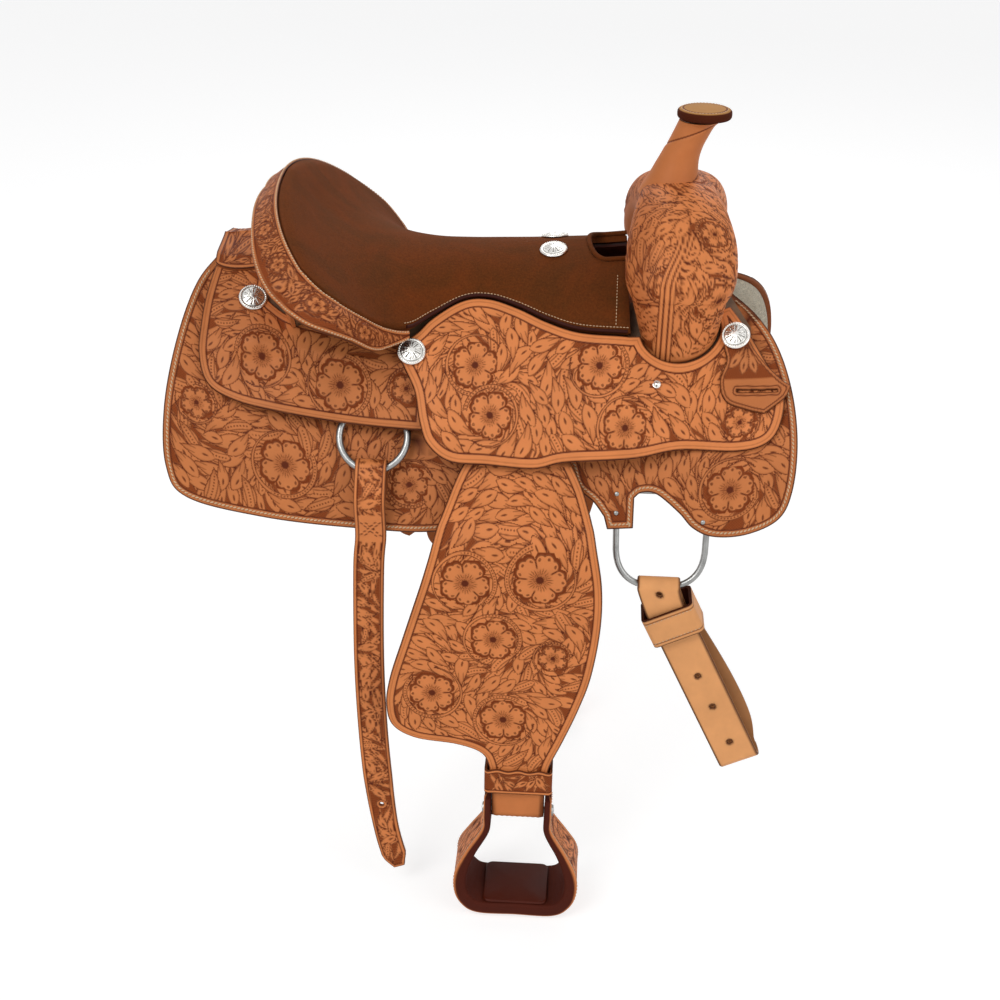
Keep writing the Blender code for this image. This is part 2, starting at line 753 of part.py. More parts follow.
def seat_layer(name, top, bottom, finish):
    """Sheet under the seat's surface, from the crest of the cantle to the fork."""
    half = SEAT_HALF_COLUMNS
    columns = [k / half for k in range(-half, half + 1)]
    rows = [k * SEAT_ROW_STEP for k in range(SEAT_ROWS + 1)]
    mesh = bmesh.new()
    skins = []
    for depth in (top, bottom):
        grid = []
        for row in rows:
            grid.append([mesh.verts.new(seat_surface(column, row) - seat_normal(column, row) * depth)
                         for column in columns])
        skins.append(grid)
    last = len(columns) - 1
    for i in range(len(rows) - 1):
        for grid in skins:
            for k in range(last):
                mesh.faces.new((grid[i][k], grid[i][k + 1], grid[i + 1][k + 1]))
                mesh.faces.new((grid[i][k], grid[i + 1][k + 1], grid[i + 1][k]))
        for k in (0, last):
            mesh.faces.new((skins[0][i][k], skins[0][i + 1][k], skins[1][i + 1][k], skins[1][i][k]))
    for i in (0, len(rows) - 1):
        for k in range(last):
            mesh.faces.new((skins[0][i][k], skins[0][i][k + 1], skins[1][i][k + 1], skins[1][i][k]))
    made = finished(name, mesh, finish)
    cut(made, FORMERS["hand_hole"])
    return made


def hand_hole_mesh():
    """Slot between the seat and the fork, round at its rear end."""
    half = 0.034
    rear = 0.124
    front = 0.190
    points = []
    for k in range(9):
        angle = math.pi / 2 + math.pi * k / 8
        points.append((rear + 0.020 + 0.020 * math.cos(angle), half * math.sin(angle)))
    points += [(front, -half), (front, half)]
    rings = [[Vector((x, y, up)) for x, y in points] for up in (0.020, 0.110)]
    return loft_mesh(rings)


def roll_stations():
    """Places round the edge of the dish: crest first, then the wing, as (across, along)."""
    crest = [(k / SEAT_HALF_COLUMNS, 0.0) for k in range(SEAT_HALF_COLUMNS)]
    wing = [(1.0, k * SEAT_ROW_STEP) for k in range(7)]
    return crest + wing + [(1.0, ROLL_END_ROW)]


def roll_ring(side, across, along):
    """Section of the rolled edge, which leaves the seat level and drops outward."""
    here = seat_surface(across, along)
    up = seat_normal(across, along)
    if along == 0.0 and across < 1.0:
        rail = seat_surface(across + 0.01, 0.0) - seat_surface(max(across - 0.01, -1), 0.0)
    else:
        rail = seat_surface(1.0, along + 0.05) - seat_surface(1.0, max(along - 0.05, 0.0))
    rail.normalize()
    out = up.cross(rail).normalized()
    if out.x > 0 and across < 1.0:
        out = -out
    up = rail.cross(out).normalized()
    if up.z < 0:
        up = -up
    taper = 1 - 0.72 * ease(along, 3.2, 5.3)
    drop = mix(CREST_DROP, WING_DROP, ease(along, 0.0, 2.0))
    fall = out * math.cos(drop) - up * math.sin(drop)
    start = here + out * COVER_FIT
    level = mix(0.1, 0.4, ease(along, 0.0, 2.0))
    bend = start + out * ROLL_WIDTH * level * taper
    rim = bend + fall * ROLL_WIDTH * (1 - level) * taper
    under = up * ROLL_LEATHER * (0.5 + 0.5 * taper)
    ring = [start, bend, rim, rim - under, bend - under, start - under]
    return [Vector((p.x, side * p.y, p.z)) for p in ring]


def make_roll():
    near = [roll_ring(NEAR, across, along) for across, along in roll_stations()]
    off = [roll_ring(OFF, across, along) for across, along in reversed(roll_stations()[1:])]
    finished("cheyenne_roll", loft_mesh(off + near), TOOLED)


def cantle_face(across, share, setback):
    """Point on the upright face of the cantle, from under its crest to its foot on the bars."""
    crest = seat_surface(across, 0.0) - Vector((0, 0, CANTLE_DROP))
    side = NEAR if across >= 0 else OFF
    foot_x = CANTLE_FOOT_X + 0.030 * across * across
    down = 0.004 + 0.082 * abs(across)
    foot = side_point(side, foot_x, down, SKIRT_TOP + GAP + BAR_THICK + COVER_FIT)
    away = Vector((-1, 0.9 * across, 0)).normalized()
    return crest.lerp(foot, share) + away * setback


def cantle_slab(name, front, back, finish):
    """Upright slab between two setbacks of the cantle's face."""
    shares = (0.0, 0.5, 1.0)
    rings = []
    for k in range(-6, 7):
        across = CANTLE_SPAN * k / 6
        ring = [cantle_face(across, share, back) for share in shares]
        ring += [cantle_face(across, share, front) for share in reversed(shares)]
        rings.append(ring)
    finished(name, loft_mesh(rings), finish)


def make_cantle():
    cantle_slab("cantle", 0.001, CANTLE_THICK, WOOD)
    cover = CANTLE_THICK + COVER_FIT
    cantle_slab("cantle_back", cover, cover + STRAP_LEATHER, TOOLED)


def make_seat():
    seat_layer("seat", 0.0, SEAT_PAD, SUEDE)
    seat_layer("ground_seat", SEAT_PAD + LEATHER_FIT, SEAT_PAD + LEATHER_FIT + GROUND_SEAT, PLAIN)
    make_roll()
    make_cantle()


def make_housing():
    """Leather bridge over the rear jockeys behind the cantle."""
    rings = []
    reach = 0.034
    for x in (-0.286, -0.270, -0.252, -0.232):
        lower = []
        upper = []
        for k in range(-4, 5):
            side = NEAR if k >= 0 else OFF
            down = abs(k) / 4 * reach
            level = max(rear_jockey_face(x, down), rear_jockey_face(x, reach)) + LEATHER_FIT
            lower.append(side_point(side, x, down, level))
            upper.append(side_point(side, x, down, level + JOCKEY_LEATHER))
        middle = len(lower) // 2
        for row in (lower, upper):
            row[middle] = Vector((x, 0, row[middle].z + 0.004))
        rings.append(upper + list(reversed(lower)))
    finished("rear_housing", loft_mesh(rings), TOOLED)


# Stirrup leather, fender and what hangs on them
def hang_line():
    """Inner face of the stirrup leather: off the bar, over the skirt, down and round the bolt."""
    corners = [(GROOVE_WALL + GAP, HANG_Z + 0.016), (GROOVE_WALL + GAP, HANG_Z - 0.011)]
    for down in (0.175, 0.205, 0.235, 0.265):
        corners.append(tuple(BARREL.point(down, HANG_STANDOFF)))
    corners.append((HANG_PLANE, -0.228))
    radius = BOLT_RADIUS + BOLT_FIT
    for k in range(9):
        angle = math.pi * k / 8
        corners.append((HANG_PLANE - radius + radius * math.cos(angle),
                        BOLT_Z - radius * math.sin(angle)))
    corners.append((HANG_PLANE - 2 * radius, BOLT_Z + 0.110))
    return BentLine(corners)


HANG = hang_line()
BOLT_OUT = HANG_PLANE - BOLT_RADIUS - BOLT_FIT


def hang_point(side, x, down, height):
    place = HANG.point(down, height)
    return Vector((x, side * place.x, place.y))


def hang_outline(*runs, steps=2):
    """Outline drawn in x and real height, turned into distance down the hanging leather."""
    return [(x, HANG.at_height(up)) for x, up in outline(*runs, steps=steps)]


def make_stirrup_leather(label, side):
    top = HANG.reach[0]
    end = HANG.reach[-1]
    wide = HANG.at_height(-0.130)
    narrow = 0.022
    points = [(HANG_X - narrow, top), (HANG_X + narrow, top), (HANG_X + STRAP_HALF, wide),
              (HANG_X + STRAP_HALF, end), (HANG_X - STRAP_HALF, end), (HANG_X - STRAP_HALF, wide)]
    mesh = sheet_mesh(side, points, HANG, 0.0, STIRRUP_LEATHER, hang_point)
    finished(label + "_stirrup_leather", mesh, DARK)


FENDER_REAR = [(0.042, -0.104), (0.012, -0.126), (-0.006, -0.150), (-0.027, -0.205),
               (-0.046, -0.271), (-0.065, -0.336), (-0.079, -0.385), (-0.0835, -0.420),
               (-0.0765, -0.449), (-0.050, -0.465), (-0.004, -0.471), (0.024, -0.481),
               (0.0335, -0.498), (0.0345, -0.520)]
FENDER_FRONT = [(0.1020, -0.520), (0.1035, -0.497), (0.118, -0.460), (0.133, -0.419),
                (0.146, -0.373), (0.154, -0.310), (0.153, -0.255), (0.143, -0.206),
                (0.129, -0.162), (0.110, -0.128), (0.098, -0.104)]


def make_fender(label, side):
    points = hang_outline(FENDER_REAR, [FENDER_REAR[-1], FENDER_FRONT[0]], FENDER_FRONT,
                          [FENDER_FRONT[-1], FENDER_REAR[0]])
    inner = STIRRUP_LEATHER + GAP
    mesh = sheet_mesh(side, points, HANG, inner, inner + FENDER_LEATHER, hang_point)
    finished(label + "_fender", mesh, TOOLED)


def rounded_box_ring(half_x, low, high, up, corner):
    """Rounded rectangle in plan, centred on the stirrup leather."""
    ring = []
    for k in range(12):
        angle = 2 * math.pi * (k + 0.5) / 12
        x = half_x - corner if math.cos(angle) > 0 else corner - half_x
        out = high - corner if math.sin(angle) > 0 else low + corner
        ring.append((HANG_X + x + corner * math.cos(angle), out + corner * math.sin(angle), up))
    return ring


def make_hobble_strap(label, side):
    """Strap that binds the fender's neck and both plies of the stirrup leather."""
    wall = 0.003
    low = HANG_PLANE - 2 * (BOLT_RADIUS + BOLT_FIT) - STIRRUP_LEATHER - 0.0008
    high = HANG_PLANE + STIRRUP_LEATHER + GAP + FENDER_LEATHER + LEATHER_FIT
    half = 0.0362
    skins = []
    for grow in (wall, 0.0):
        rings = []
        for up in (-0.502, -0.534):
            ring = rounded_box_ring(half + grow, low - grow, high + grow, up, 0.002 + grow)
            rings.append([Vector((x, side * out, z)) for x, out, z in ring])
        skins.append(rings)
    finished(label + "_hobble_strap", tube_mesh(*skins), TOOLED)


def stirrup_path():
    """Half of the stirrup from its ear to the middle of the tread: x, up, thickness, depth."""
    ear = STRAP_HALF + 0.001 + STIRRUP_EAR / 2
    tread = BOLT_Z - STIRRUP_HEIGHT + STIRRUP_WOOD / 2
    wide = TREAD_HALF - STIRRUP_WOOD / 2
    points = [(ear, BOLT_Z + 0.022, STIRRUP_EAR, 0.030), (ear, BOLT_Z + 0.004, STIRRUP_EAR, NECK_DEPTH),
              (ear + 0.001, BOLT_Z - 0.018, STIRRUP_EAR + 0.001, NECK_DEPTH + 0.002),
              (wide - 0.013, BOLT_Z - 0.048, STIRRUP_WOOD - 0.003, 0.056),
              (wide - 0.002, BOLT_Z - 0.073, STIRRUP_WOOD, 0.068),
              (wide - 0.001, tread + 0.026, STIRRUP_WOOD + 0.001, TREAD_DEPTH - 0.003),
              (wide - 0.008, tread + 0.010, STIRRUP_WOOD + 0.002, TREAD_DEPTH),
              (wide - 0.024, tread, STIRRUP_WOOD + 0.002, TREAD_DEPTH),
              (0.0, tread, STIRRUP_WOOD + 0.002, TREAD_DEPTH)]
    return spline(points, 2)


def make_stirrup(label, side):
    half = stirrup_path()
    path = [Vector(p) for p in half] + [Vector((-p[0], *p[1:])) for p in reversed(half[:-1])]
    rings = []
    for k, (x, up, thick, depth) in enumerate(path):
        before = path[max(k - 1, 0)]
        after = path[min(k + 1, len(path) - 1)]
        run = Vector((after[0] - before[0], after[1] - before[1])).normalized()
        lean = Vector((-run.y, run.x)) * thick / 2
        ring = []
        for through, over in ((-1, -1), (1, -1), (1, 1), (-1, 1)):
            ring.append(Vector((HANG_X + x + lean.x * through, side * BOLT_OUT + over * depth / 2,
                                up + lean.y * through)))
        rings.append(ring)
    made = finished(label + "_stirrup", loft_mesh(rings), DARK)
    reach = Vector((0.060, 0, 0))
    centre = Vector((HANG_X, side * BOLT_OUT, BOLT_Z))
    hole = cylinder_mesh(BOLT_RADIUS + GAP, centre - reach, centre + reach)
    cut(made, cutter(label + "_bolt_hole", hole))


def make_tread(label, side):
    """Leather pad on the stirrup's tread."""
    floor = BOLT_Z - STIRRUP_HEIGHT + STIRRUP_WOOD + 0.0014
    half_x = 0.038
    rings = []
    for up, shrink in ((floor, 0.0), (floor + 0.002, 0.0), (floor + 0.003, 0.001)):
        ring = []
        for k in range(16):
            angle = 2 * math.pi * (k + 0.5) / 16
            corner = 0.008
            x = math.copysign(half_x - corner, math.cos(angle)) + corner * math.cos(angle)
            y = math.copysign(TREAD_DEPTH / 2 - 0.003 - corner, math.sin(angle))
            y += corner * math.sin(angle)
            ring.append(Vector((HANG_X + x * (1 - shrink * 10), side * BOLT_OUT + y * (1 - shrink * 10), up)))
        rings.append(ring)
    finished(label + "_tread_pad", loft_mesh(rings), DARK)


def make_bolt(label, side):
    """Stirrup bolt with a washer head at each end."""
    centre = Vector((HANG_X, side * BOLT_OUT, BOLT_Z))
    grip = STRAP_HALF + 0.001 + STIRRUP_EAR + GAP
    profile = [(0.0, grip + 0.003), (0.0065, grip + 0.002), (0.007, grip), (BOLT_RADIUS, grip),
               (BOLT_RADIUS, -grip), (0.007, -grip), (0.0065, -grip - 0.002), (0.0, -grip - 0.003)]
    data = turned_mesh(profile, 12)
    mesh = bmesh.new()
    mesh.from_mesh(data)
    turn = Matrix.Rotation(math.pi / 2, 4, 'Y')
    bmesh.ops.transform(mesh, matrix=Matrix.Translation(centre) @ turn, verts=mesh.verts)
    finished(label + "_stirrup_bolt", mesh, STEEL)


# Rear rigging
def rear_dee_frame(side):
    """Top of the rear dee under the jockey, and the way it leans on the skirt."""
    top_height = SKIRT_TOP + HANGER_LEATHER + LEATHER_FIT + REAR_DEE_WIRE + COVER_FIT
    bottom_height = SKIRT_TOP + 2 * COVER_FIT + REAR_EYE + EYE_LEATHER
    top = side_point(side, REAR_DEE_X, REAR_DEE_TOP, top_height)
    low = side_point(side, REAR_DEE_X, REAR_DEE_TOP + 2 * REAR_DEE_RADIUS, bottom_height)
    lean = (low - top).normalized()
    return top, Vector((0, lean.y, lean.z)).normalized()


def make_rear_dee(label, side):
    top, lean = rear_dee_frame(side)
    centre = top + lean * REAR_DEE_RADIUS
    face = Vector((1, 0, 0)).cross(lean)
    bpy.ops.mesh.primitive_torus_add(major_radius=REAR_DEE_RADIUS, minor_radius=REAR_DEE_WIRE,
                                     major_segments=24, minor_segments=8, location=centre)
    made = bpy.context.object
    made.name = label + "_rear_dee"
    made.rotation_mode = 'QUATERNION'
    made.rotation_quaternion = face.to_track_quat('Z', 'X')
    for group in made.users_collection:
        group.objects.unlink(made)
    SADDLE.objects.link(made)
    made.data.shade_smooth()
    made.data.materials.append(material(STEEL))


def strap_mesh(path, faces, width_dirs, halves, thickness):
    """Flat strap along a path; faces give its outward side and width_dirs its width."""
    rings = []
    for point, face, wide, half in zip(path, faces, width_dirs, halves):
        rings.append([point - wide * half, point + wide * half,
                      point + wide * half + face * thickness, point - wide * half + face * thickness])
    return loft_mesh(rings)


def make_dee_hanger(label, side):
    """Leather loop that carries the rear dee, with both ends up under the jockey."""
    top, lean = rear_dee_frame(side)
    face = Vector((1, 0, 0)).cross(lean)
    if face.y * side < 0:
        face = -face
    bore = REAR_DEE_WIRE + LEATHER_FIT
    line = [top - lean * 0.026 + face * bore]
    line += [top - lean * 0.006 + face * bore]
    skin = [face, face]
    for k in range(7):
        angle = math.pi / 2 - math.pi * k / 6
        out = face * math.sin(angle) + lean * math.cos(angle)
        line.append(top + out * bore + lean * 0.0012)
        skin.append(out)
    line += [top - lean * 0.006 - face * bore, top - lean * 0.022 - face * bore]
    skin += [-face, -face]
    wide = Vector((1, 0, 0))
    count = len(line)
    mesh = strap_mesh(line, skin, [wide] * count, [0.010] * count, HANGER_LEATHER)
    finished(label + "_dee_hanger", mesh, DARK)


BILLET_DROP = [(-0.099, 0.0), (-0.103, 0.080), (-0.105, 0.190), (-0.103, 0.280), (-0.098, 0.360),
               (-0.090, 0.430), (-0.080, 0.476)]


def billet_line(down):
    """x of the middle of the rear billet at a distance down it."""
    for (x, start), (after, end) in zip(BILLET_DROP, BILLET_DROP[1:]):
        if down <= end:
            return mix(x, after, (down - start) / (end - start))
    return BILLET_DROP[-1][0]


def make_rear_billet(label, side, share):
    """Tooled strap folded round the rear dee: a short end under it and the long end over it."""
    top, lean = rear_dee_frame(side)
    face = Vector((1, 0, 0)).cross(lean)
    if face.y * side < 0:
        face = -face
    eye = top + lean * (2 * REAR_DEE_RADIUS - 0.0019)
    bore = REAR_EYE
    rim = side_point(side, REAR_DEE_X, 0.291, SKIRT_TOP + 0.0015)
    clear = abs(rim.y)
    out_dir = Vector((0, side, 0))
    path = [eye + lean * 0.034 - face * (bore - 0.0050), eye + lean * 0.016 - face * (bore - 0.0015)]
    skin = [-face, -face]
    for k in range(9):
        angle = math.pi + math.pi * k / 8
        out = face * math.cos(angle) + lean * math.sin(angle)
        path.append(eye + out * bore)
        skin.append(out)
    path += [eye + lean * 0.018 + face * (bore - 0.001), eye + lean * 0.040 + face * 0.0008]
    skin += [face, face]
    level = eye.z - 0.072
    drop_top = Vector((REAR_DEE_X, side * (clear + 0.0004), level))
    path.append(drop_top)
    skin.append(out_dir)
    halves = [BILLET_HALF] * len(path)
    for place, down in BILLET_DROP[1:]:
        x = billet_line(share * down)
        path.append(Vector((x, side * (clear + 0.0010), level - share * (down - 0.040))))
        skin.append(out_dir)
        halves.append(BILLET_HALF if down < 0.42 else BILLET_HALF * 0.82)
    last = path[-1]
    path.append(last + Vector((0.006, 0, -0.016 * share)))
    skin.append(out_dir)
    halves.append(BILLET_HALF * 0.4)
    widths = []
    for k, point in enumerate(path):
        if k < 14:
            widths.append(Vector((1, 0, 0)))
            continue
        run = (path[min(k + 1, len(path) - 1)] - path[k - 1]).normalized()
        widths.append(skin[k].cross(run).normalized() * (1 if skin[k].cross(run).x > 0 else -1))
    mesh = strap_mesh(path, skin, widths, halves, STRAP_LEATHER)
    finished(label + "_rear_billet", mesh, TOOLED)


# Front rigging
def front_dee_frame(side):
    """Middle of the dee behind the skirt, and its downward and outward directions."""
    here, forward, downward, outward = side_frame(side, FRONT_DEE_X, 0.265, -0.0077)
    lean = Vector((0, downward.y, downward.z)).normalized()
    face = Vector((0, outward.y, outward.z)).normalized()
    return here, lean, face


def make_front_dee(label, side):
    """Dee whose straight bar lies behind the skirt and whose bow hangs below it."""
    here, lean, face = front_dee_frame(side)
    half = 0.0465
    points = [(-half + 0.008, -0.026), (half - 0.008, -0.026)]
    bow = [(half + 0.001, -0.018), (half + 0.0025, 0.010)]
    for k in range(13):
        angle = math.pi * k / 12
        along = math.copysign(abs(math.cos(angle)) ** 0.77, math.cos(angle))
        bow.append(((half + 0.002) * along, 0.030 + 0.049 * math.sin(angle) ** 0.77))
    bow += [(-half - 0.0025, 0.010), (-half - 0.001, -0.018)]
    curve = bpy.data.curves.new(label + "_front_dee", 'CURVE')
    curve.dimensions = '3D'
    curve.bevel_depth = FRONT_DEE_WIRE
    curve.bevel_resolution = 2
    wire = curve.splines.new('POLY')
    loop = points + bow
    wire.points.add(len(loop) - 1)
    for knot, (along, down) in zip(wire.points, loop):
        place = here + Vector((along, 0, 0)) + lean * down
        knot.co = (*place, 1)
    wire.use_cyclic_u = True
    made = bpy.data.objects.new(label + "_front_dee", curve)
    SADDLE.objects.link(made)
    curve.materials.append(material(STEEL))


def dee_bottom(side):
    """Middle of the strap's eye, which hangs on the bow where the bow starts to rise."""
    here, lean, face = front_dee_frame(side)
    return here + lean * 0.0790


STRAP_LEAN = Vector((0.44, 0, -0.90)).normalized()


def make_cinch_strap(name, side):
    """Folded cinch strap: a loop over the dee's bow, down to a bight and back up behind."""
    eye = dee_bottom(side)
    here, lean, face = front_dee_frame(side)
    out = Vector((0, side, 0))
    bore = FRONT_EYE
    path = [eye + Vector((0.022, 0, -0.052)) - out * (bore - 0.0060),
            eye + Vector((0.006, 0, -0.018)) - out * (bore - 0.001)]
    skin = [-out, -out]
    for k in range(9):
        angle = math.pi + math.pi * k / 8
        away = out * math.cos(angle) - Vector((0, 0, 1)) * math.sin(angle)
        path.append(eye + away * bore)
        skin.append(away)
    path.append(eye + Vector((0.006, 0, -0.018)) + out * (bore - 0.001))
    skin.append(out)
    slope = STRAP_LEAN
    front = eye + Vector((0.022, 0, -0.052)) + out * 0.0015
    path += [front, front + slope * 0.070, front + slope * 0.140, front + slope * 0.182]
    skin += [out] * 4
    bight = front + slope * 0.182 - out * 0.0095
    for k in range(1, 7):
        angle = math.pi * k / 6
        away = out * math.cos(angle) + slope * math.sin(angle)
        path.append(bight + away * 0.0095)
        skin.append(away)
    back = bight - out * 0.0095
    ahead = Vector((0.009, 0, 0))
    path += [back - slope * 0.040 + ahead, back - slope * 0.100 + ahead, back - slope * 0.186]
    skin += [-out] * 3
    widths = []
    for k, point in enumerate(path):
        run = (path[min(k + 1, len(path) - 1)] - path[max(k - 1, 0)])
        flat = Vector((run.x, 0, run.z))
        if k < 12 or flat.length < 1e-5:
            widths.append(Vector((1, 0, 0)))
            continue
        wide = Vector((0, 1, 0)).cross(flat).normalized()
        widths.append(wide if wide.x > 0 else -wide)
    tilt = Vector((0, 1, 0)).cross(slope).normalized()
    tilt = tilt if tilt.x > 0 else -tilt
    for k in range(16, 22):
        widths[k] = tilt
    mesh = strap_mesh(path, skin, widths, [CINCH_STRAP_HALF] * len(path), STRAP_LEATHER)
    finished(name, mesh, PLAIN)


def make_strap_band(name, side):
    """Leather band round the folded cinch strap."""
    eye = dee_bottom(side)
    centre = eye + Vector((0.018, 0, -0.0415))
    slope = STRAP_LEAN
    across = Vector((0, 1, 0)).cross(slope).normalized()
    across = across if across.x > 0 else -across
    out = Vector((0, side, 0))
    inner_high = 0.0112
    inner_low = -0.0270
    half = CINCH_STRAP_HALF + 0.0035
    wall = 0.0035
    skins = []
    for grow in (wall, 0.0):
        rings = []
        for along in (-0.018, 0.018):
            ring = []
            for k in range(16):
                angle = 2 * math.pi * (k + 0.5) / 16
                corner = 0.003 + grow
                x = math.copysign(half + grow - corner, math.cos(angle)) + corner * math.cos(angle)
                edge = inner_high + grow - corner if math.sin(angle) > 0 else inner_low - grow + corner
                ring.append(centre + slope * along + across * x
                            + out * (edge + corner * math.sin(angle)))
            rings.append(ring)
        skins.append(rings)
    finished(name, tube_mesh(*skins), PLAIN)


# Silver and small pieces
CONCHO_PROFILE = [(0.0, CONCHO_HEIGHT), (0.005, CONCHO_HEIGHT - 0.0006), (0.0095, 0.0030),
                  (CONCHO_RADIUS - 0.0012, 0.0022), (CONCHO_RADIUS - 0.0002, 0.0), (0.0, 0.0)]


def stand(name, data, place, finish):
    """One small turned piece stood at a place."""
    mesh = bmesh.new()
    mesh.from_mesh(data)
    bmesh.ops.transform(mesh, matrix=place, verts=mesh.verts)
    finished(name, mesh, finish)


def make_silver():
    concho = turned_mesh(CONCHO_PROFILE, 16)
    screw = turned_mesh([(0.0, 0.003), (0.0028, 0.0024), (SCREW_RADIUS, 0.0), (0.0, 0.0)], 10)
    keeper_face = raised_by(seat_jockey_face, LEATHER_FIT + KEEPER_LEATHER)
    spots = (("rear_concho", -0.238, 0.066, rear_jockey_face),
             ("mid_concho", -0.0615, 0.101, seat_jockey_face),
             ("front_concho", 0.2845, 0.087, keeper_face))
    for label, side in SIDES:
        for name, x, down, face in spots:
            reach = CONCHO_RADIUS * (0.85 if face is keeper_face else 1)
            place = resting_height(side, x, down, face, reach)
            stand(label + "_" + name, concho, place, SILVER)
        place = resting_height(side, 0.202, 0.131, seat_jockey_face, SCREW_RADIUS)
        stand(label + "_rosette_screw", screw, place, SILVER)
        here = seat_surface(side * SEAT_CONCHO_ACROSS, SEAT_CONCHO_ROW)
        up = seat_normal(side * SEAT_CONCHO_ACROSS, SEAT_CONCHO_ROW)
        up = up if up.z > 0 else -up
        stand(label + "_seat_concho", concho, frame_matrix(here + up * 0.0005, Vector((1, 0, 0)), up),
              SILVER)


def make_keeper(label, side):
    """Latigo keeper: a leather tab with a slit, held by the front concho."""
    points = outline([(0.277, 0.080), (0.272, 0.096), (0.275, 0.112), (0.269, 0.130),
                      (0.276, 0.150), (0.298, 0.160), (0.317, 0.166)],
                     [(0.317, 0.166), (0.338, 0.152), (0.344, 0.140)],
                     [(0.344, 0.140), (0.330, 0.128), (0.304, 0.097), (0.296, 0.079),
                      (0.286, 0.074), (0.277, 0.080)])
    under = raised_by(seat_jockey_face, LEATHER_FIT)
    tab = side_sheet(label + "_latigo_keeper", side, points, under, raised_by(under, KEEPER_LEATHER),
                     TOOLED)
    slit = [(0.287, 0.139), (0.330, 0.142), (0.330, 0.1445), (0.287, 0.1415)]
    mesh = sheet_mesh(side, slit, BARREL, raised_by(under, -0.004), raised_by(under, 0.010),
                      side_point, STATIONS)
    cut(tab, cutter(label + "_keeper_slit", mesh))


def build():
    make_fork()
    make_horn()
    make_seat()
    make_housing()
    for label, side in SIDES:
        make_bar(label, side)
        make_bar_strap(label, side)
        make_side_sheets(label, side)
        make_stirrup_leather(label, side)
        make_fender(label, side)
        make_hobble_strap(label, side)
        make_stirrup(label, side)
        make_tread(label, side)
        make_bolt(label, side)
        make_rear_dee(label, side)
        make_dee_hanger(label, side)
        make_rear_billet(label, side, BILLET_SHARES[side])
        make_front_dee(label, side)
        make_keeper(label, side)
    make_cinch_strap("off_billet", OFF)
    make_strap_band("off_billet_band", OFF)
    make_silver()


clear_scene()
SADDLE = collection("western_saddle")
CUTTERS = collection("cutters")
FORMERS = {
    "fork": cutter("fork_former", loft_mesh(fork_clearance())),
    "hand_hole": cutter("hand_hole_former", hand_hole_mesh()),
}
build()
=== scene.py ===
"""Western ranch saddle, dressed in carved leather, suede, wool and silver over its solid model.

+X points to the horse's head, -Y to its off side, which the camera sees, and +Z up.
Every sheet of leather is laid out flat first, carved there, and then laid on the saddle.
The off side is made and the near side is its mirror image.
"""

import math

import bpy
import numpy as np
from bpy.props import FloatProperty, FloatVectorProperty, PointerProperty
from mathutils import Matrix, Vector, geometry


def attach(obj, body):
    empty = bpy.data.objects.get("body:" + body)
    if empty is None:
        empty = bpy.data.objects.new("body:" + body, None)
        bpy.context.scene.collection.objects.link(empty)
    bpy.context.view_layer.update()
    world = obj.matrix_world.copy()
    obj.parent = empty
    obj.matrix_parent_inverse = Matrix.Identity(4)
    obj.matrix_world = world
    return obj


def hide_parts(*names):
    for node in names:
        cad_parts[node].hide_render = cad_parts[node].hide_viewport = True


bl_info = {
    "name": "Western ranch saddle",
    "version": (1, 0, 0),
    "blender": (4, 5, 0),
    "location": "3D View > Sidebar > Saddle",
    "description": "Builds the leather, wool and silver of a western saddle on its solid model",
    "category": "Object",
}

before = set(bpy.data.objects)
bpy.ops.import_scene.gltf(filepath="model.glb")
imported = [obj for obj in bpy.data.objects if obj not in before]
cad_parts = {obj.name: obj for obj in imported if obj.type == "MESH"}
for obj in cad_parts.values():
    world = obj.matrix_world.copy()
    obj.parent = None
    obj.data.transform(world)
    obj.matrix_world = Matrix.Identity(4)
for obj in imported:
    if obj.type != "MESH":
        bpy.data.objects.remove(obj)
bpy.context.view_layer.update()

# Shape of the horse's barrel and heights off the fleece line, as in the solid model
BARREL_RADIUS = 0.370
BACK_SLOPE = math.radians(30)
CHANNEL_HALF = 0.018
ROCK_REACH = 0.300
SKIRT_LEATHER = 0.005
FLEECE = 0.013
BAR_THICK = 0.0217
JOCKEY_LEATHER = 0.0045
SEAT_PAD = 0.009
GROUND_SEAT = 0.0045
SEAT_RISE = 0.0455
GAP = 0.0003
LEATHER_FIT = 0.0006
COVER_FIT = 0.0010

# Hanging leather
HANG_X = 0.068
HANG_Z = -0.092
HANG_PLANE = 0.214
STRAP_HALF = 0.0305
BOLT_Z = -0.568
BOLT_RADIUS = 0.0045
BOLT_OUT = HANG_PLANE - BOLT_RADIUS
STIRRUP_LEATHER = 0.005
FENDER_LEATHER = 0.0045

FLIPS = {"off": np.array([1.0, 1.0, 1.0]), "near": np.array([1.0, -1.0, 1.0])}


# Numbers and curves
def ease(value, start, end):
    share = np.clip((value - start) / (end - start), 0.0, 1.0)
    return share * share * (3 - 2 * share)


def fade(value, start, end):
    return 1.0 - ease(value, start, end)


def ridge(value, centre, inner, outer):
    """1 where the value is within inner of the centre, down to 0 at outer."""
    return fade(np.abs(value - centre), inner, outer)


def mix(first, second, share):
    return first + (second - first) * share


def turns(count):
    return np.linspace(0, 2 * math.pi, count, endpoint=False)


def box_loop(left, low, right, high):
    """The one loop of a rectangular field."""
    return [np.array([(left, low), (right, low), (right, high), (left, high)])]


def led_out(knots):
    """The knots with one more at each end, straight on."""
    return np.vstack([2 * knots[0] - knots[1], knots, 2 * knots[-1] - knots[-2]])


def between(a, b, c, d, f):
    """Smooth curve from b to c at the share f, led by the knots before and after."""
    bend = 2 * a - 5 * b + 4 * c - d
    twist = -a + 3 * b - 3 * c + d
    return 0.5 * (2 * b + (c - a) * f + bend * f ** 2 + twist * f ** 3)


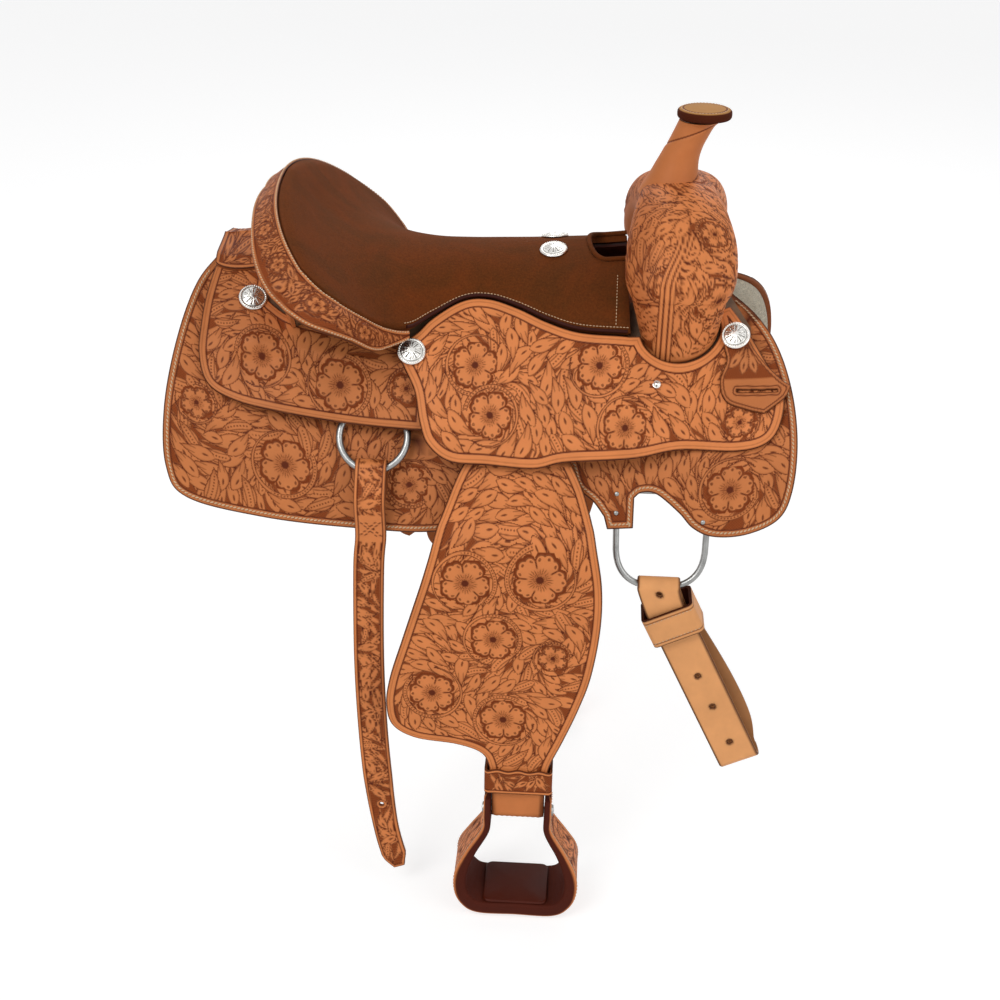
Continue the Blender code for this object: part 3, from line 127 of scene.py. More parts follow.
def spline(points, steps):
    """Smooth open curve through the points."""
    knots = np.array(points, float)
    if len(knots) == 2:
        return knots
    led = led_out(knots)
    f = np.linspace(0, 1, steps, endpoint=False)[:, None]
    return np.vstack([between(*four, f) for four in zip(led, led[1:], led[2:], led[3:])] + [knots[-1:]])


def outline(*runs):
    """Closed outline of smooth runs that meet at corners."""
    return np.vstack([spline(run, 10)[:-1] for run in runs])


def along_curve(points):
    steps = np.linalg.norm(np.diff(points, axis=0), axis=1)
    return np.concatenate([[0.0], np.cumsum(steps)])


def resample(points, pitch, closed=False):
    """The same curve with its points a pitch apart."""
    line = np.vstack([points, points[:1]]) if closed else np.asarray(points, float)
    reach = along_curve(line)
    count = max(int(round(reach[-1] / pitch)), 4)
    places = np.linspace(0, reach[-1], count + 1)
    if closed:
        places = places[:-1]
    return np.stack([np.interp(places, reach, line[:, k]) for k in range(line.shape[1])], 1)


def turning(loop):
    """Twice a loop's area, above zero where it runs anticlockwise."""
    x, y = loop.T
    return np.sum(x * np.roll(y, -1) - y * np.roll(x, -1))


def inset_line(points, inset):
    """A closed outline drawn in by a distance, by moving its points along their normals."""
    ahead = np.roll(points, -1, 0) - np.roll(points, 1, 0)
    ahead /= np.linalg.norm(ahead, axis=1)[:, None]
    return points + np.stack([-ahead[:, 1], ahead[:, 0]], 1) * inset * np.sign(turning(points))


def inside(loops, x, y):
    """True for the points inside an odd number of the loops."""
    found = np.zeros(x.shape, bool)
    for loop in loops:
        for (ax, ay), (bx, by) in zip(loop, np.roll(loop, -1, 0)):
            if ay == by:
                continue
            spans = (ay > y) != (by > y)
            found ^= spans & (x < (bx - ax) * (y - ay) / (by - ay) + ax)
    return found


def edge_distance(loops, x, y):
    best = np.full(x.shape, 1e9)
    for loop in loops:
        for (ax, ay), (bx, by) in zip(loop, np.roll(loop, -1, 0)):
            dx, dy = bx - ax, by - ay
            share = np.clip(((x - ax) * dx + (y - ay) * dy) / (dx * dx + dy * dy + 1e-18), 0, 1)
            gap = (x - ax - share * dx) ** 2 + (y - ay - share * dy) ** 2
            np.minimum(best, gap, out=best)
    return np.sqrt(best)


# Places on the saddle
def barrel(x, down, height):
    """Point on the off side at a distance down it and a height off the fleece line."""
    angle = BACK_SLOPE + down / BARREL_RADIUS
    share = (x / ROCK_REACH) ** 2
    flare = np.where(x < 0, 0.006, 0.004) * share
    rise = np.where(x < 0, 0.042, 0.026) * share
    out = BARREL_RADIUS * (np.sin(angle) - math.sin(BACK_SLOPE)) + height * np.sin(angle)
    up = BARREL_RADIUS * (np.cos(angle) - math.cos(BACK_SLOPE)) + height * np.cos(angle)
    return np.stack([x + 0 * angle, -(CHANNEL_HALF + out + flare), up + rise], -1)


def spot(x, down, height):
    return barrel(np.array(x), np.array(down), np.array(height))


def bar_top(x, down):
    ends = ease(x, -0.300, -0.225) * fade(x, 0.262, 0.330)
    edge = mix(1.0, 0.3, ease(down, 0.108, 0.144)) * fade(down, 0.144, 0.180)
    groove = ease(x, -0.045, 0.0) * fade(x, 0.135, 0.180)
    return SKIRT_LEATHER + GAP + BAR_THICK * np.maximum(ends, 0.08) * np.maximum(edge, groove)


def rear_jockey_under(x, down):
    return np.maximum(bar_top(x, down) + COVER_FIT, mix(0.007, 0.0248, ease(x, -0.300, -0.180)))


def rear_jockey_face(x, down):
    return rear_jockey_under(x, down) + JOCKEY_LEATHER


def seat_jockey_under(x, down):
    zone = ease(x, -0.085, -0.020) * fade(x, 0.150, 0.260)
    over_rear = rear_jockey_face(x, down) + LEATHER_FIT
    resting = mix(over_rear, bar_top(x, down) + COVER_FIT, ease(x, -0.010, 0.030))
    raised = SEAT_RISE - JOCKEY_LEATHER - 0.0065 * ease(down, 0.125, 0.216)
    return mix(resting, np.maximum(resting, raised), zone)


def seat_jockey_face(x, down):
    return seat_jockey_under(x, down) + JOCKEY_LEATHER


def hang_base():
    """Smooth inner face of the hanging leather as height against distance out."""
    line = [(0.1466, HANG_Z + 0.016), (0.1466, HANG_Z - 0.011)]
    for down in (0.175, 0.205, 0.235, 0.265):
        place = spot(0.0, down, 0.014)
        line.append((-place[1], place[2]))
    line += [(HANG_PLANE, -0.228), (HANG_PLANE, -0.300), (HANG_PLANE, -0.420), (HANG_PLANE, BOLT_Z)]
    return resample(spline(line, 8), 0.002)


HANG = hang_base()
HANG_TILT = np.gradient(HANG[:, 0], along_curve(HANG))


def hanging(x, up, height):
    """Point on the off side's hanging leather at a real height, and a height off its inner face."""
    out = np.interp(-up, -HANG[:, 1], HANG[:, 0])
    tilt = np.interp(-up, -HANG[:, 1], HANG_TILT)
    lift = height * np.sqrt(1 - tilt ** 2)
    return np.stack([x + 0 * out, -(out + lift), up + height * tilt], -1)


SEAT_CENTRE = [(-0.212, 0.1295), (-0.204, 0.1280), (-0.192, 0.114), (-0.174, 0.091),
               (-0.143, 0.070), (-0.100, 0.058), (-0.052, 0.053), (-0.010, 0.053), (0.030, 0.055),
               (0.065, 0.057), (0.100, 0.060), (0.132, 0.063), (0.166, 0.068)]
SEAT_SHOULDER = [(-0.214, 0.126, 0.122), (-0.198, 0.136, 0.115), (-0.182, 0.146, 0.100),
                 (-0.160, 0.140, 0.084), (-0.130, 0.118, 0.067), (-0.092, 0.090, 0.056),
                 (-0.052, 0.066, 0.053), (-0.010, 0.055, 0.053), (0.030, 0.054, 0.054),
                 (0.065, 0.060, 0.054), (0.100, 0.068, 0.054), (0.132, 0.072, 0.055),
                 (0.166, 0.074, 0.058)]
SEAT_WING = [(-0.168, 0.176, 0.075), (-0.150, 0.184, 0.060), (-0.130, 0.183, 0.044),
             (-0.110, 0.170, 0.026), (-0.088, 0.146, 0.005), (-0.064, 0.122, -0.006)]
SEAT_EDGE = [(-0.042, 0.062), (-0.010, 0.041), (0.018, 0.038), (0.050, 0.048), (0.082, 0.063),
             (0.118, 0.075), (0.172, 0.081)]
SEAT_LAST_ROW = 12.0
ROLL_END_ROW = 4.95


def seat_rails():
    edge = [tuple(spot(x, down, SEAT_RISE) * FLIPS["near"]) for x, down in SEAT_EDGE]
    centre = [(x, 0.0, up) for x, up in SEAT_CENTRE]
    return [np.array(rail) for rail in (centre, SEAT_SHOULDER, SEAT_WING + edge)]


SEAT_RAILS = seat_rails()


def rail_point(rail, row):
    led = led_out(rail)
    k = np.clip(np.floor(row).astype(int), 0, len(rail) - 2)
    return between(*(led[k + n] for n in range(4)), (row - k)[..., None])


def seat_surface(across, row):
    """Top of the seat: across runs from -1 at the off edge to 1 at the near edge."""
    across, row = np.broadcast_arrays(np.asarray(across, float), np.asarray(row, float))
    share = np.abs(across)[..., None]
    centre, shoulder, edge = (rail_point(rail, row) for rail in SEAT_RAILS)
    point = (1 - share) ** 2 * centre + 2 * share * (1 - share) * shoulder + share ** 2 * edge
    point[..., 1] *= np.sign(across)
    return point


def unit(vectors):
    return vectors / (np.linalg.norm(vectors, axis=-1)[..., None] + 1e-12)


def seat_normal(across, row):
    step = 0.01
    right = seat_surface(np.minimum(across + step, 1), row)
    right = right - seat_surface(np.maximum(across - step, -1), row)
    ahead = seat_surface(across, row + step) - seat_surface(across, row - step)
    return unit(np.cross(ahead, right))


# Materials
def srgb(red, green, blue):
    """Linear colour of a colour given as 0 to 255 on a screen."""
    values = []
    for part in (red, green, blue):
        share = part / 255
        values.append(share / 12.92 if share < 0.04045 else ((share + 0.055) / 1.055) ** 2.4)
    return (*values, 1.0)


class Nodes:
    """Short words for laying out a node tree."""

    def __init__(self, tree):
        self.tree = tree

    def feed(self, made, inputs):
        """Links or sets each of a node's inputs."""
        for key, value in inputs.items():
            if isinstance(value, bpy.types.NodeSocket):
                self.tree.links.new(value, made.inputs[key])
            else:
                made.inputs[key].default_value = value
        return made

    def add(self, kind, inputs=None, **settings):
        made = self.tree.nodes.new(kind)
        for key, value in settings.items():
            setattr(made, key, value)
        return self.feed(made, inputs or {})

    def math(self, kind, first, second=0.0):
        return self.add('ShaderNodeMath', {0: first, 1: second}, operation=kind).outputs[0]

    def blend(self, share, first, second, kind='MIX'):
        return self.add('ShaderNodeMix', {0: share, 6: first, 7: second}, data_type='RGBA',
                        blend_type=kind).outputs[2]

    def shade(self, colour, value):
        """The colour made darker or lighter by a value about 1."""
        grey = self.add('ShaderNodeCombineColor', {0: value, 1: value, 2: value})
        return self.blend(1.0, colour, grey.outputs[0], 'MULTIPLY')

    def spread(self, value, low, high, first=0.0, last=1.0):
        """The value's span from low to high turned into first to last."""
        return self.add('ShaderNodeMapRange', {0: value, 1: low, 2: high, 3: first, 4: last}).outputs[0]

    def mark(self, name):
        return self.add('ShaderNodeAttribute', attribute_name=name).outputs['Fac']

    def place(self):
        return self.add('ShaderNodeTexCoord').outputs['Object']

    def noise(self, place, scale, detail, roughness=0.5, distortion=0.0):
        return self.add('ShaderNodeTexNoise', {'Vector': place, 'Scale': scale, 'Detail': detail,
                                               'Roughness': roughness, 'Distortion': distortion}).outputs['Fac']

    def bump(self, height, depth):
        return self.add('ShaderNodeBump', {'Height': height, 'Distance': depth, 'Strength': 0.8}).outputs['Normal']

    def seen(self):
        """1 where the camera or a gloss looks at the studio itself."""
        path = self.add('ShaderNodeLightPath')
        return self.math('MAXIMUM', path.outputs['Is Camera Ray'], path.outputs['Is Glossy Ray'])


def rgba(colour, share=1.0):
    """A colour as a node takes it, darkened to a share."""
    return tuple(share * part for part in tuple(colour)[:3]) + (1.0,)


def hide_grain_group():
    """Pores and creases of leather, with slow changes of shade over the hide."""
    known = bpy.data.node_groups.get("hide_grain")
    if known:
        return known
    made = bpy.data.node_groups.new("hide_grain", 'ShaderNodeTree')
    for label, value in (("Grain Size", 900.0), ("Shade", 0.12)):
        socket = made.interface.new_socket(label, in_out='INPUT', socket_type='NodeSocketFloat')
        socket.default_value = value
    for label in ("Height", "Tint", "Scuff"):
        made.interface.new_socket(label, in_out='OUTPUT', socket_type='NodeSocketFloat')
    nodes = Nodes(made)
    given = nodes.add('NodeGroupInput')
    place = nodes.place()
    pores = nodes.add('ShaderNodeTexVoronoi', {'Vector': place, 'Scale': given.outputs[0]})
    fine = nodes.noise(place, given.outputs[0], 3.0)
    centred = nodes.math('SUBTRACT', nodes.noise(place, 22.0, 5.0, 0.62), 0.5)
    swing = nodes.math('MULTIPLY', centred, nodes.math('MULTIPLY', given.outputs[1], 4.0))
    nodes.add('NodeGroupOutput', {
        0: nodes.math('ADD', nodes.math('MULTIPLY', pores.outputs['Distance'], 0.6), fine),
        1: nodes.math('ADD', 1.0, swing),
        2: nodes.spread(nodes.noise(place, 60.0, 6.0, 0.7), 0.55, 0.75)})
    return made


def look(name, lay_out, *values):
    """The named material, laid out once."""
    made = bpy.data.materials.get(name)
    if made is None:
        made = bpy.data.materials.new(name)
        made.use_nodes = True
        lay_out(Nodes(made.node_tree), made.node_tree.nodes["Principled BSDF"], *values)
    return made


def tooled_leather(nodes, shader, light, ground, cut, rough=0.5):
    """Carved leather: the marks tone, cut and edge on the mesh say how the surface was worked, and tone and cut also
    carry painted shade at the bevels.
    """
    skin = nodes.add('ShaderNodeGroup', node_tree=hide_grain_group())
    skin.inputs[0].default_value, skin.inputs[1].default_value = 1400.0, 0.10
    colour = nodes.blend(nodes.mark("tone"), ground, light)
    colour = nodes.blend(nodes.mark("cut"), colour, cut)
    colour = nodes.blend(nodes.mark("edge"), colour, rgba(cut, 0.45))
    base = nodes.spread(nodes.mark("tone"), 0.0, 1.0, rough + 0.22, rough)
    nodes.feed(shader, {
        'Base Color': nodes.shade(colour, skin.outputs['Tint']),
        'Roughness': nodes.math('ADD', base, nodes.math('MULTIPLY', skin.outputs['Scuff'], 0.12)),
        'Specular IOR Level': 0.17,
        'Normal': nodes.bump(skin.outputs['Height'], 0.00012)})


def brushed_suede(nodes, shader, fresh, worn):
    """Brushed suede, worn darker in soft patches."""
    place = nodes.place()
    patches = nodes.spread(nodes.noise(place, 16.0, 6.0, 0.68, 0.6), 0.34, 0.66)
    nap = nodes.noise(place, 420.0, 6.0, 0.75)
    colour = nodes.blend(patches, fresh, worn)
    nodes.feed(shader, {
        'Base Color': nodes.shade(colour, nodes.spread(nap, 0.3, 0.7, 0.72, 1.25)),
        'Roughness': 0.95, 'Sheen Weight': 0.05, 'Sheen Roughness': 0.5,
        'Sheen Tint': (0.65, 0.32, 0.14, 1), 'Specular IOR Level': 0.15,
        'Normal': nodes.bump(nap, 0.0006)})


def sheared_wool(nodes, shader, wool):
    curl = nodes.noise(nodes.place(), 130.0, 6.0, 0.7, 3.0)
    # The colour darkens in the bump's low places: painted shade between the locks of wool.
    nodes.feed(shader, {'Base Color': nodes.blend(nodes.spread(curl, 0.3, 0.7), rgba(wool, 0.55), wool),
                        'Roughness': 1.0, 'Sheen Weight': 0.3, 'Normal': nodes.bump(curl, 0.0040)})


def worn_metal(nodes, shader, colour, rough, dark):
    """Metal with fine scratches; the mark cut darkens engraved lines."""
    place = nodes.place()
    stretch = nodes.add('ShaderNodeMapping', {'Vector': place, 'Scale': (1.0, 1.0, 6.0)})
    rubbed = nodes.noise(stretch.outputs[0], 300.0, 4.0)
    shade = nodes.spread(nodes.noise(place, 90.0, 3.0), 0.45, 0.75, 0.0, 0.35)
    tarnished = nodes.blend(shade, colour, dark)
    nodes.feed(shader, {
        'Base Color': nodes.blend(nodes.mark("cut"), tarnished, dark), 'Metallic': 1.0,
        'Roughness': nodes.spread(rubbed, 0.3, 0.7, rough - 0.08, rough + 0.12),
        'Normal': nodes.bump(rubbed, 0.00006)})


def plain_grain(nodes, shader, colour, dark, scale, rough, depth):
    """Plain surface with a grain of its own: rawhide and thread."""
    noise = nodes.noise(nodes.place(), scale, 4.0)
    nodes.feed(shader, {'Base Color': nodes.blend(nodes.spread(noise, 0.35, 0.65), dark, colour),
                        'Roughness': rough, 'Normal': nodes.bump(noise, depth)})


def leather(kind):
    """One of the saddle's leathers."""
    colours = bpy.context.scene.saddle_colours
    light, ground, cut, pale, dark = (rgba(c) for c in (
        colours.tooled, colours.background, colours.cut, colours.plain, colours.dark))
    values = {
        "tooled": (light, ground, cut),
        "tooled_dark": (rgba(light, 0.80), ground, cut, 0.52),
        "plain": (pale, rgba(pale, 0.6), cut),
        "cap": (srgb(176, 124, 64), srgb(104, 46, 20), cut, 0.7),
        "stirrup": (light, dark, cut),
        "dark": (dark, rgba(dark, 0.5), rgba(dark, 0.3), 0.45),
    }
    return look(kind + "_look", tooled_leather, *values[kind])


def suede():
    colours = bpy.context.scene.saddle_colours
    return look("suede_look", brushed_suede, rgba(colours.suede), rgba(colours.suede_worn))


def thread():
    pale = bpy.context.scene.saddle_colours.thread
    return look("thread_look", plain_grain, rgba(pale), rgba(pale, 0.7), 900.0, 0.8, 0.0002)


def silver():
    return look("silver_look", worn_metal, srgb(236, 234, 228), 0.26, srgb(110, 106, 98))


def steel():
    return look("steel_look", worn_metal, srgb(158, 158, 156), 0.34, srgb(70, 68, 64))


# Meshes
def mesh_data(name, verts, tris, marks):
    """Mesh from triangles, turned to face outwards, with its marks as point attributes."""
    verts = np.ascontiguousarray(verts, np.float64)
    a, b, c = (verts[tris[:, k]] for k in range(3))
    if np.sum(np.cross(a, b) * c) < 0:
        tris = tris[:, ::-1]
    data = bpy.data.meshes.new(name)
    data.vertices.add(len(verts))
    data.vertices.foreach_set("co", verts.astype(np.float32).ravel())
    data.loops.add(3 * len(tris))
    data.loops.foreach_set("vertex_index", np.ascontiguousarray(tris, np.int32).ravel())
    data.polygons.add(len(tris))
    data.polygons.foreach_set("loop_start", np.arange(0, 3 * len(tris), 3, dtype=np.int32))
    data.update(calc_edges=True)
    for label, values in (marks or {}).items():
        layer = data.attributes.new(label, 'FLOAT', 'POINT')
        layer.data.foreach_set("value", np.asarray(values, np.float32))
    data.shade_smooth()
    data.set_sharp_from_angle(angle=math.radians(50))
    return data


def place_piece(name, data, finish, body, nodes=()):
    """Object for a finished mesh, riding on its body and standing for its solids."""
    made = bpy.data.objects.new(name, data)
    bpy.context.scene.collection.objects.link(made)
    data.materials.clear()
    data.materials.append(finish)
    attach(made, body)
    if nodes:
        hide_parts(*nodes)
    return made


def solid(name, verts, tris, marks, finish, body, slot, nodes=()):
    return place_piece(name, mesh_data(name, verts, tris, marks), finish, body, nodes)


def flat_mesh(loops, inner):
    """Triangles that fill flat loops, with inner points; returns the points and triangles."""
    points = [tuple(p) for loop in loops for p in loop] + [tuple(p) for p in inner]
    edges = []
    first = 0
    for loop in loops:
        count = len(loop)
        edges += [(first + k, first + (k + 1) % count) for k in range(count)]
        first += count
    found = geometry.delaunay_2d_cdt(points, edges, [], 0, 1e-9, False)
    if len(found[0]) != len(points):
        raise RuntimeError("an outline crosses itself or has points too close together")
    verts = np.array([tuple(p) for p in found[0]])
    tris = np.array([tuple(face) for face in found[2]])
    middle = verts[tris].mean(1)
    tris = tris[inside(loops, middle[:, 0], middle[:, 1])]
    a, b, c = (verts[tris[:, k]] for k in range(3))
    turn = (b[:, 0] - a[:, 0]) * (c[:, 1] - a[:, 1]) - (b[:, 1] - a[:, 1]) * (c[:, 0] - a[:, 0])
    tris[turn < 0] = tris[turn < 0][:, ::-1]
    return verts, tris


def lattice(loops, pitch, keep=None):
    """Points of a staggered grid inside the loops, clear of their edges."""
    low, high = loops[0].min(0), loops[0].max(0)
    rows = np.arange(low[1], high[1], pitch * math.sqrt(3) / 2)
    columns = np.arange(low[0], high[0], pitch)
    x, y = np.meshgrid(columns, rows)
    x = x + (np.arange(len(rows)) % 2)[:, None] * pitch / 2
    x, y = x.ravel(), y.ravel()
    if keep is not None:
        kept = keep(x, y)
        x, y = x[kept], y[kept]
    kept = inside(loops, x, y)
    x, y = x[kept], y[kept]
    kept = edge_distance(loops, x, y) > 0.6 * pitch
    return np.stack([x[kept], y[kept]], 1)


class FlatPiece:
    """A piece laid out flat: a fine face, a coarse back and the loops that both share."""

    def __init__(self, loops, pitch, coarse=0.008, fine=None):
        self.loops = []
        for loop in loops:
            loop = resample(loop, max(pitch * 1.3, 0.001), closed=True)
            outer = not self.loops
            self.loops.append(loop if (turning(loop) > 0) == outer else loop[::-1])
        inner = lattice(self.loops, pitch, fine)
        if fine is not None:
            rest = lattice(self.loops, coarse, lambda x, y: ~fine(x, y))
            inner = np.vstack([inner, rest])
        self.face, self.face_tris = flat_mesh(self.loops, inner)
        self.back, self.back_tris = flat_mesh(self.loops, lattice(self.loops, coarse))
        self.x, self.y = self.face[:, 0], self.face[:, 1]
        self.gap = edge_distance(self.loops, self.x, self.y)

    def shell(self, place, under, over, rise=0.0, rounding=0.0012, back_rise=None):
        """Vertices and triangles of the closed piece laid in place."""
        rim = np.clip(rounding - self.gap, 0, rounding)
        fall = rounding - np.sqrt(np.maximum(rounding ** 2 - rim ** 2, 0))
        top = place(self.x, self.y, over(self.x, self.y) + rise - fall)
        bx, by = self.back[:, 0], self.back[:, 1]
        lower = under(bx, by)
        if back_rise is not None:
            lower = lower - back_rise(bx, by, edge_distance(self.loops, bx, by))
        bottom = place(bx, by, lower)
        shift = len(top)
        walls = []
        first = 0
        for loop in self.loops:
            here = first + np.arange(len(loop))
            after = first + (np.arange(len(loop)) + 1) % len(loop)
            walls.append(np.stack([after, here, here + shift], 1))
            walls.append(np.stack([after, here + shift, after + shift], 1))
            first += len(loop)
        tris = np.vstack([self.face_tris, self.back_tris[:, ::-1] + shift] + walls)
        return np.vstack([top, bottom]), tris

    def marks(self, tone, cut, edge_width=0.0011):
        """Point attributes for the whole shell, with a burnished edge."""
        count = len(self.back)
        edge = fade(self.gap, 0.3 * edge_width, edge_width)
        return {
            "tone": np.concatenate([tone + 0 * self.x, np.full(count, 0.35)]),
            "cut": np.concatenate([cut + 0 * self.x, np.zeros(count)]),
            "edge": np.concatenate([edge, np.full(count, 0.25)]),
        }


PITCHES = {"off": 0.00096, "near": 0.00135}


def side_body(body, label):
    return body if body == "saddle" else f"{label}_{body}"


def both_sides(name, shell, marks, finish, body, slot, labels=("off", "near"), suffix="leather"):
    """The piece on the off side and its mirror image on the near side."""
    verts, tris = shell
    for label in labels:
        solid(f"{label}_{name}_{suffix}", verts * FLIPS[label], tris, marks, finish, side_body(body, label), slot,
              [f"{label}_{name}"])


def carved_sheet(name, loop, place, under, over, border, flowers, seed, kind, body="saddle", fine=None,
                 edge=0.0022):
    """A tooled sheet of leather on each side, finer on the side that is seen most."""
    for label in FLIPS:
        piece = FlatPiece([loop], PITCHES[label], fine=fine)
        rise, tone, cut = tooled_field(piece, border, flowers, seed)
        shell = piece.shell(place, under, over, (rise - 1) * relief())
        both_sides(name, shell, piece.marks(tone, cut, edge), leather(kind), body, "tooled_leather", (label,))


def loft(rings, closed=False):
    """Vertices and triangles of a skin over rings of as many points each, capped if it is open."""
    n, m, _ = rings.shape
    verts = rings.reshape(-1, 3)
    i = np.arange(n if closed else n - 1)[:, None]
    k = np.arange(m)[None, :]
    ahead = (i + 1) % n
    turn = (k + 1) % m
    a, b, c, d = (v.ravel() for v in np.broadcast_arrays(i * m + k, i * m + turn, ahead * m + turn, ahead * m + k))
    tris = [np.stack([a, b, c], 1), np.stack([a, c, d], 1)]
    if not closed:
        verts = np.vstack([verts, rings[0].mean(0), rings[-1].mean(0)])
        ring = np.arange(m)
        after = (ring + 1) % m
        tris.append(np.stack([np.full(m, n * m), after, ring], 1))
        last = (n - 1) * m
        tris.append(np.stack([np.full(m, n * m + 1), last + ring, last + after], 1))
    return verts, np.vstack(tris)


def backed(grids, values, count, axis=0):
    """Grids of marks carried on over an unseen side, each with a value of its own."""
    shape = (count, grids[0].shape[1]) if axis == 0 else (len(grids[0]), count)
    return [np.concatenate([grid, np.full(shape, value)], axis) for grid, value in zip(grids, values)]


def loft_marks(shape, tone, cut, edge, closed=False):
    """Point attributes of a loft from grids or single values."""
    made = {}
    for label, values in (("tone", tone), ("cut", cut), ("edge", edge)):
        full = np.broadcast_to(values, shape).ravel()
        made[label] = full if closed else np.concatenate([full, full[:1], full[-1:]])
    return made


def lofted(node, rings, marks, finish, slot="tooled_leather", body="saddle", closed=False, suffix="_leather"):
    """One skin over rings that stands for one solid."""
    solid(node + suffix, *loft(rings, closed), loft_marks(rings.shape[:2], *marks, closed), finish, body, slot, [node])


def rounded_section(half_wide, half_thick, corner, count):
    """Points round a rounded rectangle, evenly along it, as (wide, thick)."""
    corner = min(corner, half_wide * 0.99, half_thick * 0.99)
    line = []
    for turn, (sx, sy) in enumerate(((1, 1), (-1, 1), (-1, -1), (1, -1))):
        for k in range(9):
            angle = math.pi / 2 * (turn + k / 8)
            line.append((sx * (half_wide - corner) + corner * math.cos(angle),
                         sy * (half_thick - corner) + corner * math.sin(angle)))
    line = np.array(line)
    return resample(line, along_curve(np.vstack([line, line[:1]]))[-1] / count, closed=True)


def pipe(line, radius, closed, sides=16):
    """Round wire along a line of points."""
    ahead = np.roll(line, -1, 0) - np.roll(line, 1, 0)
    if not closed:
        ahead[0], ahead[-1] = line[1] - line[0], line[-1] - line[-2]
    ahead = unit(ahead)
    first = unit(np.cross(ahead, np.linalg.svd(line - line.mean(0), full_matrices=False)[2][2]))
    second = unit(np.cross(ahead, first))
    angle = turns(sides)[None, :, None]
    rings = line[:, None] + radius * (first[:, None] * np.cos(angle) + second[:, None] * np.sin(angle))
    return loft(rings, closed)


class Ribbon:
    """A strap's course: its middle line with the ways that its face and its width point."""

    def __init__(self, points, faces, wides, steps=8):
        self.points = spline(points, steps)
        self.faces = unit(spline(faces, steps))
        self.wides = unit(spline(wides, steps))
        self.reach = along_curve(self.points)
        self.knots = self.reach[::steps] if steps > 1 else self.reach

    def place(self, along, across, height):
        parts = []
        for line in (self.points, self.wides, self.faces):
            parts.append(np.stack([np.interp(along, self.reach, line[:, k]) for k in range(3)], -1))
        middle, wide, face = parts
        return middle + wide * np.asarray(across)[..., None] + face * np.asarray(height)[..., None]


def circle(cx, cy, radius, count=16):
    angle = turns(count)
    return np.stack([cx + radius * np.cos(angle), cy + radius * np.sin(angle)], 1)


